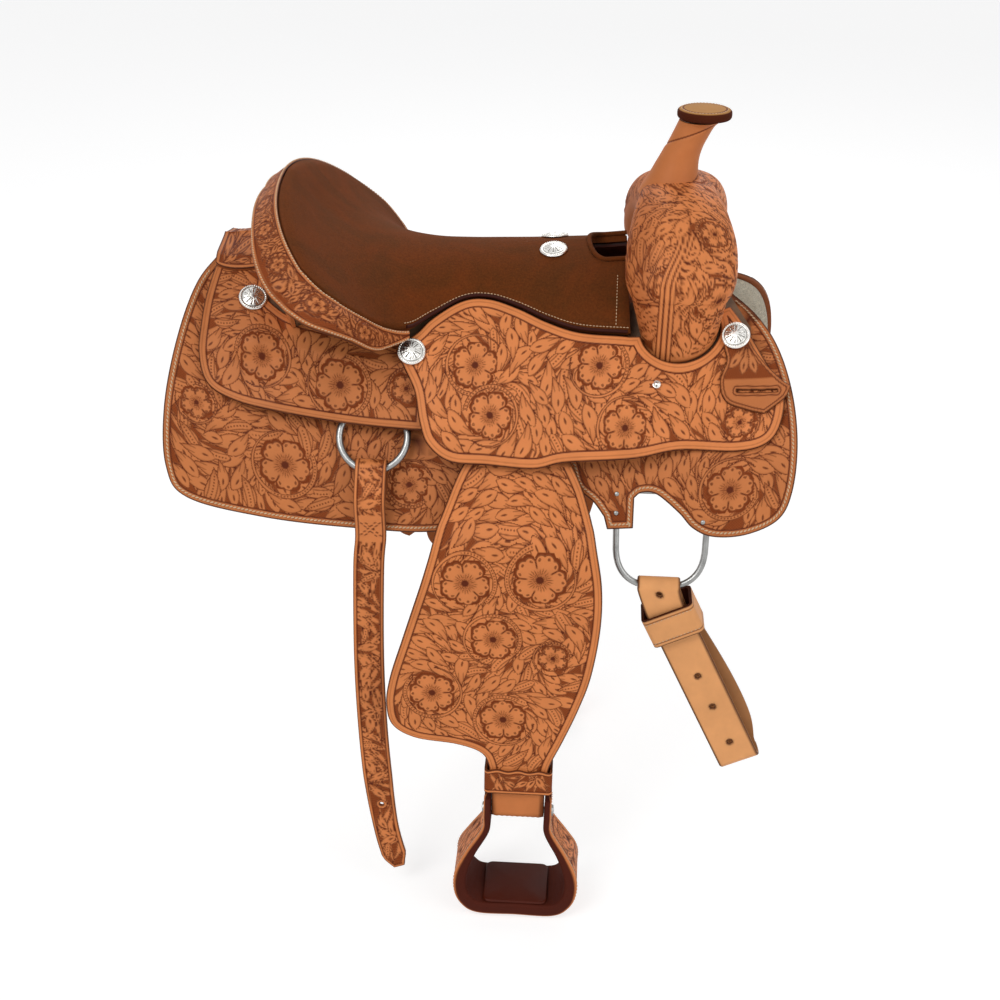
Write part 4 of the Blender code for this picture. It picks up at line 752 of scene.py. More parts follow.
# Carving
class Carving:
    """What the carver's tools leave on a flat piece: rise from 0 to 1, tone and cut lines, with painted bevel shade in
    the tone and cuts.
    """

    def __init__(self, x, y):
        self.shape = x.shape
        self.x, self.y = x.ravel(), y.ravel()
        self.rise, self.cut = np.zeros((2, x.size))
        self.tone = 0.06 + 0.10 * np.sin(self.x * 2100) * np.sin(self.y * 2100)

    def near(self, cx, cy, reach):
        return np.nonzero((np.abs(self.x - cx) < reach) & (np.abs(self.y - cy) < reach))[0]

    def put(self, which, rise, tone, cut):
        self.rise[which] = rise
        self.tone[which] = tone
        self.cut[which] = cut

    def leaf(self, cx, cy, length, width, heading, bend, beaded=False):
        """Round-ended lobe, narrow at its root, with a short slit or a row of beads."""
        which = self.near(cx, cy, 0.7 * length)
        if not len(which):
            return
        dx, dy = self.x[which] - cx, self.y[which] - cy
        c, s = math.cos(heading), math.sin(heading)
        share = (dx * c + dy * s) / length + 0.5
        side = -dx * s + dy * c - bend * length * ((2 * share - 1) ** 2 - 0.33)
        half = 0.5 * width * np.sin(math.pi * np.clip(share, 0, 1) ** 1.5) ** 0.7
        within = (share > 0) & (share < 1) & (np.abs(side) < half)
        which, share, side, half = (v[within] for v in (which, share, side, half))
        rim = half - np.abs(side)
        # The border is the knife cut round the leaf, widened with painted shade on its bevel.
        border = fade(rim, 0.0004, 0.0013)
        if beaded:
            beads = np.hypot((share * length + 0.002) % 0.0034 - 0.0017, side)
            inner = np.maximum(fade(beads, 0.0006, 0.0012),
                               0.8 * ridge(np.abs(side), 0.26 * width, 0.0003, 0.0009))
            inner = inner * ease(share, 0.12, 0.2) * fade(share, 0.84, 0.92)
        else:
            slit = np.hypot((share - 0.72) * length / 3.2, side)
            vein = np.abs(np.abs(side) - 0.16 * width) + 0.004 * ease(share, 0.40, 0.62)
            inner = np.maximum(fade(slit, 0.0007, 0.0014), 0.7 * fade(vein, 0.0002, 0.0008))
            inner = inner * ease(share, 0.10, 0.2)
        # Painted shade: the tone darkens towards the leaf's bevelled rim and its root, where it lies lower.
        tone = (0.80 + 0.20 * ease(rim, 0.0008, 0.0030)) * (0.72 + 0.28 * ease(share, 0.0, 0.5))
        self.put(which, 0.55 + 0.45 * ease(rim, 0, 0.0022) - 0.35 * inner, tone, np.maximum(border, 0.9 * inner))

    def flower(self, cx, cy, size, turn):
        """Open flower: ruffled petals with seed marks round a dark rayed centre."""
        which = self.near(cx, cy, 1.05 * size)
        dx, dy = self.x[which] - cx, self.y[which] - cy
        petals = 5
        reach = np.hypot(dx, dy) / size
        angle = np.arctan2(dy, dx) - turn
        lobe = np.abs(np.sin(angle * petals / 2))
        ruffle = np.abs(np.sin(angle * petals * 1.5))
        rim = 0.74 + 0.24 * lobe ** 0.6 + 0.09 * ruffle ** 0.7
        # The halo is a dark ring of painted shade round the flower's bevel.
        halo = which[reach < rim + 0.13]
        self.put(halo, 0.35, 0.0, 0.25)
        within = reach < rim
        which, reach, angle, lobe, ruffle, rim = (v[within] for v in (which, reach, angle, lobe, ruffle, rim))
        apart = np.abs(((angle * petals / (2 * math.pi)) + 0.5) % 1.0 - 0.5) * 2 * math.pi / petals * reach * size
        split = fade(apart, 0.0004, 0.0013) * ease(reach, 0.45, 0.58)
        # The border is the knife cut round the petals, with painted shade on its bevel.
        border = fade((rim - reach) * size, 0.0004, 0.0014)
        rays = ease(np.cos(angle * petals * 5), 0.3, 0.95) * fade(reach, 0.28 + 0.16 * lobe, 0.42 + 0.16 * lobe)
        centre = fade(reach, 0.13, 0.20)
        spot = (angle * petals * 1.5 / math.pi) % 1.0 - 0.5
        seed = np.hypot((reach - rim + 0.16) * size, spot * math.pi / petals / 1.5 * reach * size)
        seed = ridge(seed, 0.0009, 0.0004, 0.0009)
        rise = 0.55 + 0.45 * ease(reach, 0.30, 0.80) * (0.6 + 0.4 * lobe) - 0.2 * centre
        # Painted shade: the tone darkens towards the low centre and between the lobes, following the rise.
        tone = 0.60 + 0.40 * ease(reach, 0.20, 0.60) * (0.75 + 0.25 * lobe)
        cut = np.maximum.reduce([split, border, 0.85 * rays, centre, 0.8 * seed])
        self.put(which, rise, tone, cut)

    def stem(self, cx, cy, radius, start, sweep, grow, width):
        """Band that winds round a centre, beaded over its first part."""
        which = self.near(cx, cy, radius + abs(grow) + width)
        dx, dy = self.x[which] - cx, self.y[which] - cy
        distance = np.hypot(dx, dy)
        angle = (np.arctan2(dy, dx) - start) % (2 * math.pi)
        share = angle / sweep
        away = np.abs(distance - radius - grow * share)
        half = 0.5 * width * (1 - 0.7 * np.clip(share, 0, 1) ** 2)
        within = (share < 1) & (away < half)
        which, angle, away, half, share = (v[within] for v in (which, angle, away, half, share))
        beads = np.hypot((angle * radius) % 0.0034 - 0.0017, away)
        beads = fade(beads, 0.0006, 0.0012) * fade(share, 0.45, 0.5)
        # The border is the knife cut along the stem, with painted shade on its bevel.
        border = fade(half - away, 0.0004, 0.0014)
        self.put(which, 1.0 - 0.4 * beads, 0.95 - 0.1 * beads, np.maximum(border, 0.8 * beads))

    def fill(self, flowers, loops, pitch, length, width, seed):
        """Leaves that sweep round the flowers and fill the ground, long ones under round ones."""
        draw = np.random.default_rng(seed)
        for layer, (spread, long, wide) in enumerate(((1.0, 1.5, 0.62), (1.12, 1.0, 1.0))):
            sites = lattice(loops, pitch * spread)
            sites = sites + draw.uniform(-0.2, 0.2, sites.shape) * pitch
            for n in draw.permutation(len(sites)):
                cx, cy = sites[n]
                turn, spare, size = 2.4 * math.sin(34 * cx) + 2.0 * math.cos(27 * cy), 1e9, 0.0
                for k, (fx, fy, reach) in enumerate(flowers):
                    gap = math.hypot(cx - fx, cy - fy) - reach
                    if gap < spare:
                        spare, size = gap, reach
                        spin = 1 if k % 2 else -1
                        turn = math.atan2(cy - fy, cx - fx) + spin * math.radians(58)
                if spare < -0.3 * size:
                    continue
                grown = draw.uniform(0.85, 1.15)
                self.leaf(cx, cy, length * long * grown, width * wide * grown, turn + draw.uniform(-0.35, 0.35),
                          draw.uniform(-0.10, 0.16), layer and draw.random() < 0.2)
        for fx, fy, size in flowers:
            spin = draw.uniform(0, 6.28)
            self.stem(fx, fy, 1.26 * size, spin, 5.2, 0.16 * size, 0.22 * size)
            self.flower(fx, fy, size, spin)
        return self

    def worked(self, field, line, groove=0.0):
        """Rise, tone and cut: carved inside the field, plain outside it, with a line between."""
        rise, tone, cut = (part.reshape(self.shape) for part in (self.rise, self.tone, self.cut))
        return mix(1.0, rise, field) - groove * line, mix(1.0, tone, field), np.maximum(cut * field, line)


def tooled_field(piece, border, flowers, seed):
    """Carves a flat piece inside a plain border; gives its rise, tone and cut lines."""
    carving = Carving(piece.x, piece.y).fill(flowers, piece.loops, 0.0170, 0.037, 0.0150, seed)
    line = ridge(piece.gap, border, 0.0004, 0.0013)
    rise, tone, cut = carving.worked(ease(piece.gap, border, border + 0.0006), line, 0.45)
    return rise, tone, np.maximum(cut, 0.35 * ridge(piece.gap, 0.45 * border, 0.0002, 0.0009))


def relief():
    return bpy.context.scene.saddle_sizes.relief


# Repeats
REPEAT_SIZES = (("Pitch", 0.004), ("Length", 0.003), ("Width", 0.001), ("Height", 0.0006), ("Twist", 0.0))


def repeat_tree():
    """Sets small rounded shapes along lines: stitches, beads and laces."""
    known = bpy.data.node_groups.get("repeat_along_lines")
    if known:
        return known
    made = bpy.data.node_groups.new("repeat_along_lines", 'GeometryNodeTree')
    sockets = made.interface
    sockets.new_socket("Geometry", in_out='INPUT', socket_type='NodeSocketGeometry')
    for label, value in REPEAT_SIZES:
        sockets.new_socket(label, in_out='INPUT', socket_type='NodeSocketFloat').default_value = value
    sockets.new_socket("Material", in_out='INPUT', socket_type='NodeSocketMaterial')
    sockets.new_socket("Geometry", in_out='OUTPUT', socket_type='NodeSocketGeometry')
    nodes = Nodes(made)
    given = nodes.add('NodeGroupInput').outputs
    line = nodes.add('GeometryNodeMeshToCurve', {'Mesh': given['Geometry']})
    even = nodes.add('GeometryNodeResampleCurve', {'Curve': line.outputs[0], 'Length': given['Pitch']}, mode='LENGTH')
    facing = nodes.add('GeometryNodeInputNamedAttribute', {'Name': "facing"}, data_type='FLOAT_VECTOR')
    stand = nodes.add('FunctionNodeAlignRotationToVector', {'Vector': facing.outputs[0]}, axis='Z')
    tangent = nodes.add('GeometryNodeInputTangent')
    turn = nodes.add('FunctionNodeAlignRotationToVector',
                     {'Rotation': stand.outputs[0], 'Vector': tangent.outputs[0]}, axis='X', pivot_axis='Z')
    spin = nodes.add('ShaderNodeCombineXYZ', {'Z': given['Twist']})
    skew = nodes.add('FunctionNodeRotateRotation', {'Rotation': turn.outputs[0], 'Rotate By': spin.outputs[0]},
                     rotation_space='LOCAL')
    ball = nodes.add('GeometryNodeMeshUVSphere', {'Segments': 8, 'Rings': 5, 'Radius': 0.5})
    size = nodes.add('ShaderNodeCombineXYZ', {'X': given['Length'], 'Y': given['Width'], 'Z': given['Height']})
    laid = nodes.add('GeometryNodeInstanceOnPoints', {
        'Points': even.outputs[0], 'Instance': ball.outputs[0], 'Rotation': skew.outputs[0], 'Scale': size.outputs[0]})
    real = nodes.add('GeometryNodeRealizeInstances', {'Geometry': laid.outputs[0]})
    coated = nodes.add('GeometryNodeSetMaterial', {'Geometry': real.outputs[0], 'Material': given['Material']})
    nodes.add('NodeGroupOutput', {0: coated.outputs[0]})
    return made


def repeats(name, lines, sizes, finish, body):
    """One piece of shapes repeated along lines of (points, facings, closed), baked to a mesh."""
    verts, faces, edges = [], [], []
    for points, facings, closed in lines:
        first, count = len(verts), len(points)
        verts += [tuple(p) for p in points]
        faces += [tuple(f) for f in facings]
        edges += [(first + k, first + (k + 1) % count) for k in range(count if closed else count - 1)]
    data = bpy.data.meshes.new(name + "_line")
    data.from_pydata(verts, edges, [])
    layer = data.attributes.new("facing", 'FLOAT_VECTOR', 'POINT')
    layer.data.foreach_set("vector", np.array(faces, np.float32).ravel())
    guide = bpy.data.objects.new(name + "_line", data)
    bpy.context.scene.collection.objects.link(guide)
    modifier = guide.modifiers.new("repeat", 'NODES')
    modifier.node_group = repeat_tree()
    sockets = modifier.node_group.interface.items_tree
    named = {item.name: item.identifier for item in sockets if item.in_out == 'INPUT'}
    for (label, _), value in zip(REPEAT_SIZES, sizes):
        modifier[named[label]] = value
    modifier[named["Material"]] = finish
    view = bpy.context.evaluated_depsgraph_get()
    baked = bpy.data.meshes.new_from_object(guide.evaluated_get(view))
    guide.modifiers.remove(modifier)
    bpy.data.objects.remove(guide)
    if not len(baked.polygons):
        raise RuntimeError(name + " came out empty")
    baked.name = name
    for label, value in (("tone", 1.0), ("cut", 0.0), ("edge", 0.0)):
        layer = baked.attributes.new(label, 'FLOAT', 'POINT')
        layer.data.foreach_set("value", np.full(len(baked.vertices), value, np.float32))
    baked.shade_smooth()
    return place_piece(name, baked, finish, body)


def stitches(name, lines, sizes, body="saddle"):
    return repeats(name, lines, sizes, thread(), body)


def stitch_rows(name, lines, body, sizes):
    """Stitches along lines on both sides of the saddle."""
    for label, flip in FLIPS.items():
        flipped = [(points * flip, facings * flip, closed) for points, facings, closed in lines]
        stitches(f"{label}_{name}", flipped, sizes, side_body(body, label))


def surface_line(place, points, height, lift=0.0):
    """A flat line laid on a surface, with the surface's outward directions."""
    x, y = points[:, 0], points[:, 1]
    here = place(x, y, height + lift)
    return here, unit(place(x, y, height + lift + 0.0005) - here)


def studs(name, place, spots, height, across):
    """Round metal heads standing on a sheet, on both sides of the saddle."""
    points, facings = surface_line(place, np.array(spots), height, 0.0002)
    for label, flip in FLIPS.items():
        lines = []
        for point, facing in zip(points * flip, facings * flip):
            beside = unit(np.cross(facing, (1.0, 0.0, 0.0))) * 0.00004
            lines.append((np.stack([point - beside, point + beside]), np.stack([facing, facing]), False))
        repeats(f"{label}_{name}", lines, (0.001, across, across, 0.36 * across, 0.0), steel(), "saddle")


# Outlines, as in the solid model
SKIRT_REAR = [(-0.287, 0.004), (-0.305, 0.050), (-0.318, 0.120), (-0.326, 0.200), (-0.322, 0.262),
              (-0.300, 0.289), (-0.222, 0.291), (-0.122, 0.286), (-0.031, 0.281), (0.045, 0.262),
              (0.090, 0.222), (0.113, 0.205)]
SKIRT_TAB = [(0.113, 0.205), (0.122, 0.230), (0.140, 0.246), (0.152, 0.262)]
SKIRT_FRONT = [(0.184, 0.243), (0.192, 0.238), (0.208, 0.241), (0.232, 0.262), (0.248, 0.280),
               (0.270, 0.291), (0.305, 0.292), (0.338, 0.279), (0.351, 0.250), (0.354, 0.200),
               (0.347, 0.144), (0.331, 0.090), (0.308, 0.048), (0.272, 0.004)]


def skirt_outline():
    rear, front = (0.156, 0.276), (0.184, 0.276)
    return outline(SKIRT_REAR, SKIRT_TAB, [SKIRT_TAB[-1], rear], [rear, front],
                   [front, SKIRT_FRONT[0]], SKIRT_FRONT, [SKIRT_FRONT[-1], SKIRT_REAR[0]])


def fleece_outline():
    inset = 0.005
    rear = [(x + inset, down) for x, down in SKIRT_REAR[:5]]
    lower = [(x, down - inset) for x, down in SKIRT_REAR[5:-2]]
    lobe = [(x - inset, down - inset) for x, down in SKIRT_FRONT[6:10]]
    front = [(x - inset, down) for x, down in SKIRT_FRONT[10:]]
    over_dee = [lower[-1], (0.070, 0.226), (0.160, 0.206), (0.240, 0.206), (0.285, 0.222), lobe[0]]
    return outline(rear + lower, over_dee, lobe + front, [front[-1], rear[0]])


def rear_jockey_outline():
    corner = (-0.2265, 0.012)
    under_seat = [(-0.2265, 0.060), (-0.214, 0.069), (-0.196, 0.077), (-0.165, 0.081), (-0.120, 0.083), (-0.045, 0.085)]
    lower = [(-0.045, 0.176), (-0.110, 0.177), (-0.201, 0.177), (-0.250, 0.174), (-0.280, 0.163),
             (-0.292, 0.135), (-0.293, 0.100), (-0.291, 0.062), (-0.284, 0.012)]
    return outline([lower[-1], corner], [corner, under_seat[0]], under_seat,
                   [under_seat[-1], lower[0]], lower)


FORK_FOOT = (0.225, 0.075)


def seat_jockey_outline():
    """Follows the seat's edge, goes round the fork's foot and comes back below."""
    top = [(x, down + 0.0018) for x, down in SEAT_EDGE]
    ear = [(-0.078, 0.102), (-0.071, 0.090), (-0.056, 0.078)]
    foot = []
    for degrees in range(168, -31, -18):
        angle = math.radians(degrees)
        foot.append((FORK_FOOT[0] + 0.0432 * math.cos(angle), FORK_FOOT[1] + 0.0352 * math.sin(angle)))
    front = [(0.296, 0.073), (0.318, 0.110), (0.337, 0.146), (0.335, 0.178),
             (0.321, 0.197), (0.290, 0.202), (0.231, 0.196), (0.180, 0.203), (0.109, 0.205),
             (0.075, 0.211), (0.025, 0.208), (-0.015, 0.206), (-0.039, 0.191), (-0.049, 0.169),
             (-0.056, 0.140), (-0.068, 0.118), (-0.078, 0.102)]
    return outline(ear + top, [top[-1], foot[0]], foot, [foot[-1], (0.279, 0.050)],
                   [(0.279, 0.050)] + front)


FENDER_REAR = [(0.042, -0.104), (0.012, -0.126), (-0.006, -0.150), (-0.027, -0.205),
               (-0.046, -0.271), (-0.065, -0.336), (-0.079, -0.385), (-0.0835, -0.420),
               (-0.0765, -0.449), (-0.050, -0.465), (-0.004, -0.471), (0.024, -0.481),
               (0.0335, -0.498), (0.0345, -0.520)]
FENDER_FRONT = [(0.1020, -0.520), (0.1035, -0.497), (0.118, -0.460), (0.133, -0.419),
                (0.146, -0.373), (0.154, -0.310), (0.153, -0.255), (0.143, -0.206),
                (0.129, -0.162), (0.110, -0.128), (0.098, -0.104)]


def flat(height):
    return lambda x, y: height + 0 * x


# Skirts and fleeces
def make_fleeces():
    piece = FlatPiece([fleece_outline()], 0.0042, coarse=0.0042)

    def tufts(x, y, gap):
        """Curly locks, longest in the middle and rolled in at the edge."""
        curls = np.sin(x * 620 + 1.7 * np.sin(y * 410)) * np.sin(y * 560 + 1.9 * np.sin(x * 380))
        more = np.sin(x * 1410 + 2 * np.sin(y * 900)) * np.sin(y * 1270)
        return (0.0010 * curls + 0.0007 * more) * ease(gap, 0.0, 0.010) - 0.004 * fade(gap, 0, 0.008)

    shell = piece.shell(barrel, flat(-FLEECE + 0.001), flat(-GAP), back_rise=tufts)
    wool = look("wool_look", sheared_wool, rgba(bpy.context.scene.saddle_colours.fleece))
    both_sides("fleece", shell, piece.marks(1.0, 0.0), wool, "saddle", "fleece")


def skirt_shown(x, y):
    rear = (x < -0.062) & (y > 0.170)
    behind = x < -0.268
    front = (x > 0.100) & (y > 0.196)
    fore = (x > 0.304) & (y > 0.060)
    return rear | behind | front | fore | ((y > 0.2) & (x < 0.12))


def make_skirts():
    outer = skirt_outline()
    flowers = [(-0.1951, 0.2298, 0.0255), (0.2852, 0.2418, 0.0235), (-0.292, 0.185, 0.016),
               (-0.060, 0.232, 0.019), (0.338, 0.150, 0.014)]
    carved_sheet("skirt", outer, barrel, flat(0.0), flat(SKIRT_LEATHER), 0.0078, flowers, 11, "tooled_dark",
                 fine=skirt_shown, edge=0.0026)
    lace = resample(inset_line(resample(outer, 0.003, True), 0.0050), 0.003, True)
    seen = lace[:, 1] > 0.03
    start = int(np.argmax(~seen & np.roll(seen, -1))) + 1
    lace = np.roll(lace, -start, 0)[:int(seen.sum())]
    points, facings = surface_line(barrel, lace, SKIRT_LEATHER, 0.0003)
    stitch_rows("skirt_lacing", [(points, facings, False)], "saddle", (0.0042, 0.0046, 0.0019, 0.0016, 0.45))
    studs("skirt_rivets", barrel, [(0.165, 0.2585), (0.2583, 0.2740), (0.165, 0.238)], SKIRT_LEATHER, 0.0056)


# Jockeys, housing and keepers
def make_jockeys():
    flowers = [(-0.2226, 0.1239, 0.0225), (-0.137, 0.1397, 0.0245), (-0.066, 0.135, 0.015)]
    carved_sheet("rear_jockey", rear_jockey_outline(), barrel, rear_jockey_under, rear_jockey_face, 0.0085,
                 flowers, 23, "tooled_dark", fine=lambda x, y: y > 0.03)
    flowers = [(0.0077, 0.1116, 0.0225), (0.0262, 0.1603, 0.0215), (0.1406, 0.1120, 0.0225),
               (0.170, 0.1732, 0.0215), (0.292, 0.128, 0.0170), (0.292, 0.172, 0.015)]
    carved_sheet("seat_jockey", seat_jockey_outline(), barrel, seat_jockey_under, seat_jockey_face, 0.0100,
                 flowers, 37, "tooled")


def make_keepers():
    outer = outline([(0.277, 0.080), (0.272, 0.096), (0.275, 0.112), (0.269, 0.130),
                     (0.276, 0.150), (0.298, 0.160), (0.317, 0.166)],
                    [(0.317, 0.166), (0.338, 0.152), (0.344, 0.140)],
                    [(0.344, 0.140), (0.330, 0.128), (0.304, 0.097), (0.296, 0.079),
                     (0.286, 0.074), (0.277, 0.080)])
    slit = np.array([(0.287, 0.139), (0.330, 0.142), (0.330, 0.1445), (0.287, 0.1415)])
    piece = FlatPiece([outer, slit], 0.0013)

    def under(x, y):
        return seat_jockey_face(x, y) + LEATHER_FIT

    carving = Carving(piece.x, piece.y)
    for turn in (-0.75, -0.30, 0.15, 0.60):
        heading = math.pi / 2 + turn
        carving.leaf(0.297 + 0.017 * math.cos(heading), 0.093 + 0.017 * math.sin(heading), 0.031, 0.0105, heading,
                     0.08 * turn)
    field = ease(piece.gap, 0.0036, 0.0042) * fade(piece.y, 0.128, 0.130)
    cut = np.maximum(carving.cut * field, ridge(piece.gap, 0.0035, 0.0003, 0.0010))
    shell = piece.shell(barrel, under, lambda x, y: under(x, y) + 0.0035, -0.0003 * cut)
    both_sides("latigo_keeper", shell, piece.marks(mix(0.85, carving.tone, field), cut, 0.0016),
               leather("tooled_dark"), "saddle", "tooled_leather")


def make_housing():
    """Small dark tab of carved leather over the rear jockeys behind the cantle, round at its ends."""
    reach, count = 0.034, 150
    rear, front = -0.286, -0.230
    share = np.linspace(-1, 1, count)
    stations = np.linspace(rear, front, 60)
    rings = []
    for x in stations:
        along = (x + 0.258) / 0.028
        limit = reach * (0.72 + 0.28 * math.sqrt(max(1 - along ** 2, 0.0)))
        down = np.abs(share) * limit
        station = np.full(count, x)
        level = np.maximum(rear_jockey_face(station, down), rear_jockey_face(x, reach)) + LEATHER_FIT
        lower = barrel(station, down, level)
        upper = barrel(station, down, level + JOCKEY_LEATHER)
        for row in (lower, upper):
            row[:, 1] *= -np.sign(share) * ease(np.abs(share), -0.001, 0.55)
            row[:, 2] += 0.0025 * fade(np.abs(share), 0.0, 0.5)
        rings.append(np.vstack([upper, lower[::-1]]))
    rings = np.array(rings)
    u, v = np.meshgrid(stations, share * reach, indexing='ij')
    carving = Carving(u, v).fill([], box_loop(rear, -reach, front, reach), 0.0110, 0.020, 0.0090, 29)
    gap = np.minimum(np.minimum(u - rear, front - u), reach * (1 - np.abs(share))[None])
    rise, tone, cut = carving.worked(ease(gap, 0.0046, 0.0052), ridge(gap, 0.0048, 0.0003, 0.0011))
    rings[:, :count, 2] += (rise - 1) * relief()
    marks = backed((tone, cut, fade(gap, 0.0004, 0.0020)), (0.3, 0.0, 0.0), count, 1)
    lofted("rear_housing", rings, marks, leather("tooled_dark"))


# Seat
HOLE_REAR = 0.124
HOLE_HALF = 0.045
SEAT_SCALE = (0.130, 0.033)


def hand_hole():
    """The slot behind the fork, in the seat's own flat layout."""
    angle = np.linspace(math.pi / 2, 3 * math.pi / 2, 15)
    edge = np.stack([HOLE_REAR + 0.020 + 0.020 * np.cos(angle), HOLE_HALF * np.sin(angle)], 1)
    across = np.linspace(-0.9, 0.9, 361)
    row = np.linspace(8.5, SEAT_LAST_ROW, 281)
    grid = seat_surface(*np.meshgrid(across, row))
    found = []
    for x, y in edge:
        gap = (grid[..., 0] - x) ** 2 + (grid[..., 1] - y) ** 2
        i, k = np.unravel_index(int(np.argmin(gap)), gap.shape)
        found.append((across[k] * SEAT_SCALE[0], row[i] * SEAT_SCALE[1]))
    return np.array(found)


def seat_place(x, y, depth):
    across = np.clip(x / SEAT_SCALE[0], -1, 1)
    row = np.clip(y / SEAT_SCALE[1], 0, SEAT_LAST_ROW)
    safe = np.where(np.abs(across) < 1e-6, 1e-6, across)
    return seat_surface(safe, row) + seat_normal(safe, row) * np.asarray(depth)[..., None]


def seat_outline():
    wide, far = SEAT_SCALE[0], SEAT_LAST_ROW * SEAT_SCALE[1]
    hole = hand_hole()
    mouth = hole if hole[0][0] > 0 else hole[::-1]
    corners = [(-wide, 0.0), (wide, 0.0), (wide, far), (mouth[0][0], far)]
    return np.vstack([corners, mouth, [(mouth[-1][0], far), (-wide, far)]])


def seat_line(across, rows, lift):
    """Points along the seat with the ways that it faces there, as one open line."""
    facings = seat_normal(across, rows)
    return seat_surface(across, rows) + facings * lift, facings, False


def make_seat_binding():
    """Dark bound edge of the suede along both jockeys, with its pale stitches, and the hole's rolled rim."""
    rows = np.linspace(4.90, SEAT_LAST_ROW - 0.05, 260)
    for label, (_, sign, _) in FLIPS.items():
        edge = np.full(260, -sign)
        bound = pipe(seat_line(0.985 * edge, rows, 0.0004)[0], 0.0019, False, 10)
        solid(label + "_seat_binding", *bound, None, leather("dark"), "saddle", "dark_leather")
        front = seat_line(np.linspace(-0.93, -0.52, 60) * sign, np.full(60, 11.72), 0.0)
        stitches(label + "_seat_stitching", [seat_line(0.955 * edge, rows, 0.0002), front],
                 (0.0036, 0.0028, 0.0011, 0.0010, 0.0))
    hole, far = hand_hole(), SEAT_LAST_ROW * SEAT_SCALE[1]
    hole = np.vstack([(hole[0][0], far), hole, (hole[-1][0], far)])
    rim = resample(spline(seat_place(hole[:, 0], hole[:, 1], np.full(len(hole), 0.0006)), 6), 0.0015)
    solid("seat_hole_rim", *pipe(rim, 0.0026, False, 12), None, suede(), "saddle", "suede")


def make_seat():
    piece = FlatPiece([seat_outline()], 0.0030, coarse=0.0060)
    shell = piece.shell(seat_place, flat(-SEAT_PAD), flat(0.0), rounding=0.003)
    seat = solid("seat_suede", *shell, piece.marks(1.0, 0.0, 0.003), suede(), "saddle", "suede", ["seat"])
    top = SEAT_PAD + LEATHER_FIT
    piece = FlatPiece([seat_outline()], 0.0060, coarse=0.0080)
    shell = piece.shell(seat_place, flat(-top - GROUND_SEAT), flat(-top))
    # The ground seat is dark leather with a lowered tone: painted shade inside the hand hole.
    solid("ground_seat_leather", *shell, piece.marks(0.8, 0.0), leather("dark"), "saddle",
          "plain_leather", ["ground_seat"])
    make_seat_binding()


ROLL_WIDTH = 0.036
ROLL_LEATHER = 0.006


def roll_stations(count):
    """Places along the edge of the dish from the middle of the crest to the wing."""
    across, row = np.array([(k / 60, 0.0) for k in range(60)]
                           + [(1.0, ROLL_END_ROW * k / 90) for k in range(91)]).T
    reach = along_curve(seat_surface(across + 1e-9, row))
    even = np.linspace(0, reach[-1], count)
    return np.interp(even, reach, across), np.interp(even, reach, row), even


def both_halves(line):
    """A line or rings that start at the middle, led in by their mirror image."""
    return np.concatenate([(line * FLIPS["near"])[::-1][:-1], line])


def roll_frame(across, row):
    """Start of the roll at each station with the ways up and out."""
    here = seat_surface(across + 1e-9, row)
    rail = np.gradient(here, axis=0)
    rail[0] = (0.0, 1.0, 0.0)
    rail = unit(rail)
    for _ in range(6):
        rail[1:-1] = unit(rail[:-2] + 2 * rail[1:-1] + rail[2:])
    up = seat_normal(np.clip(across + 1e-9, 0, 0.99), np.maximum(row, 0.011))
    up = up * np.sign(up[:, 2:3])
    out = unit(np.cross(up, rail))
    away = here - np.array([-0.10, 0.0, 0.05])
    out = out * np.sign(np.sum(out * away, 1))[:, None]
    for _ in range(4):
        out[1:-1] = unit(out[:-2] + 2 * out[1:-1] + out[2:])
        up[1:-1] = unit(up[:-2] + 2 * up[1:-1] + up[2:])
    return here, up, out


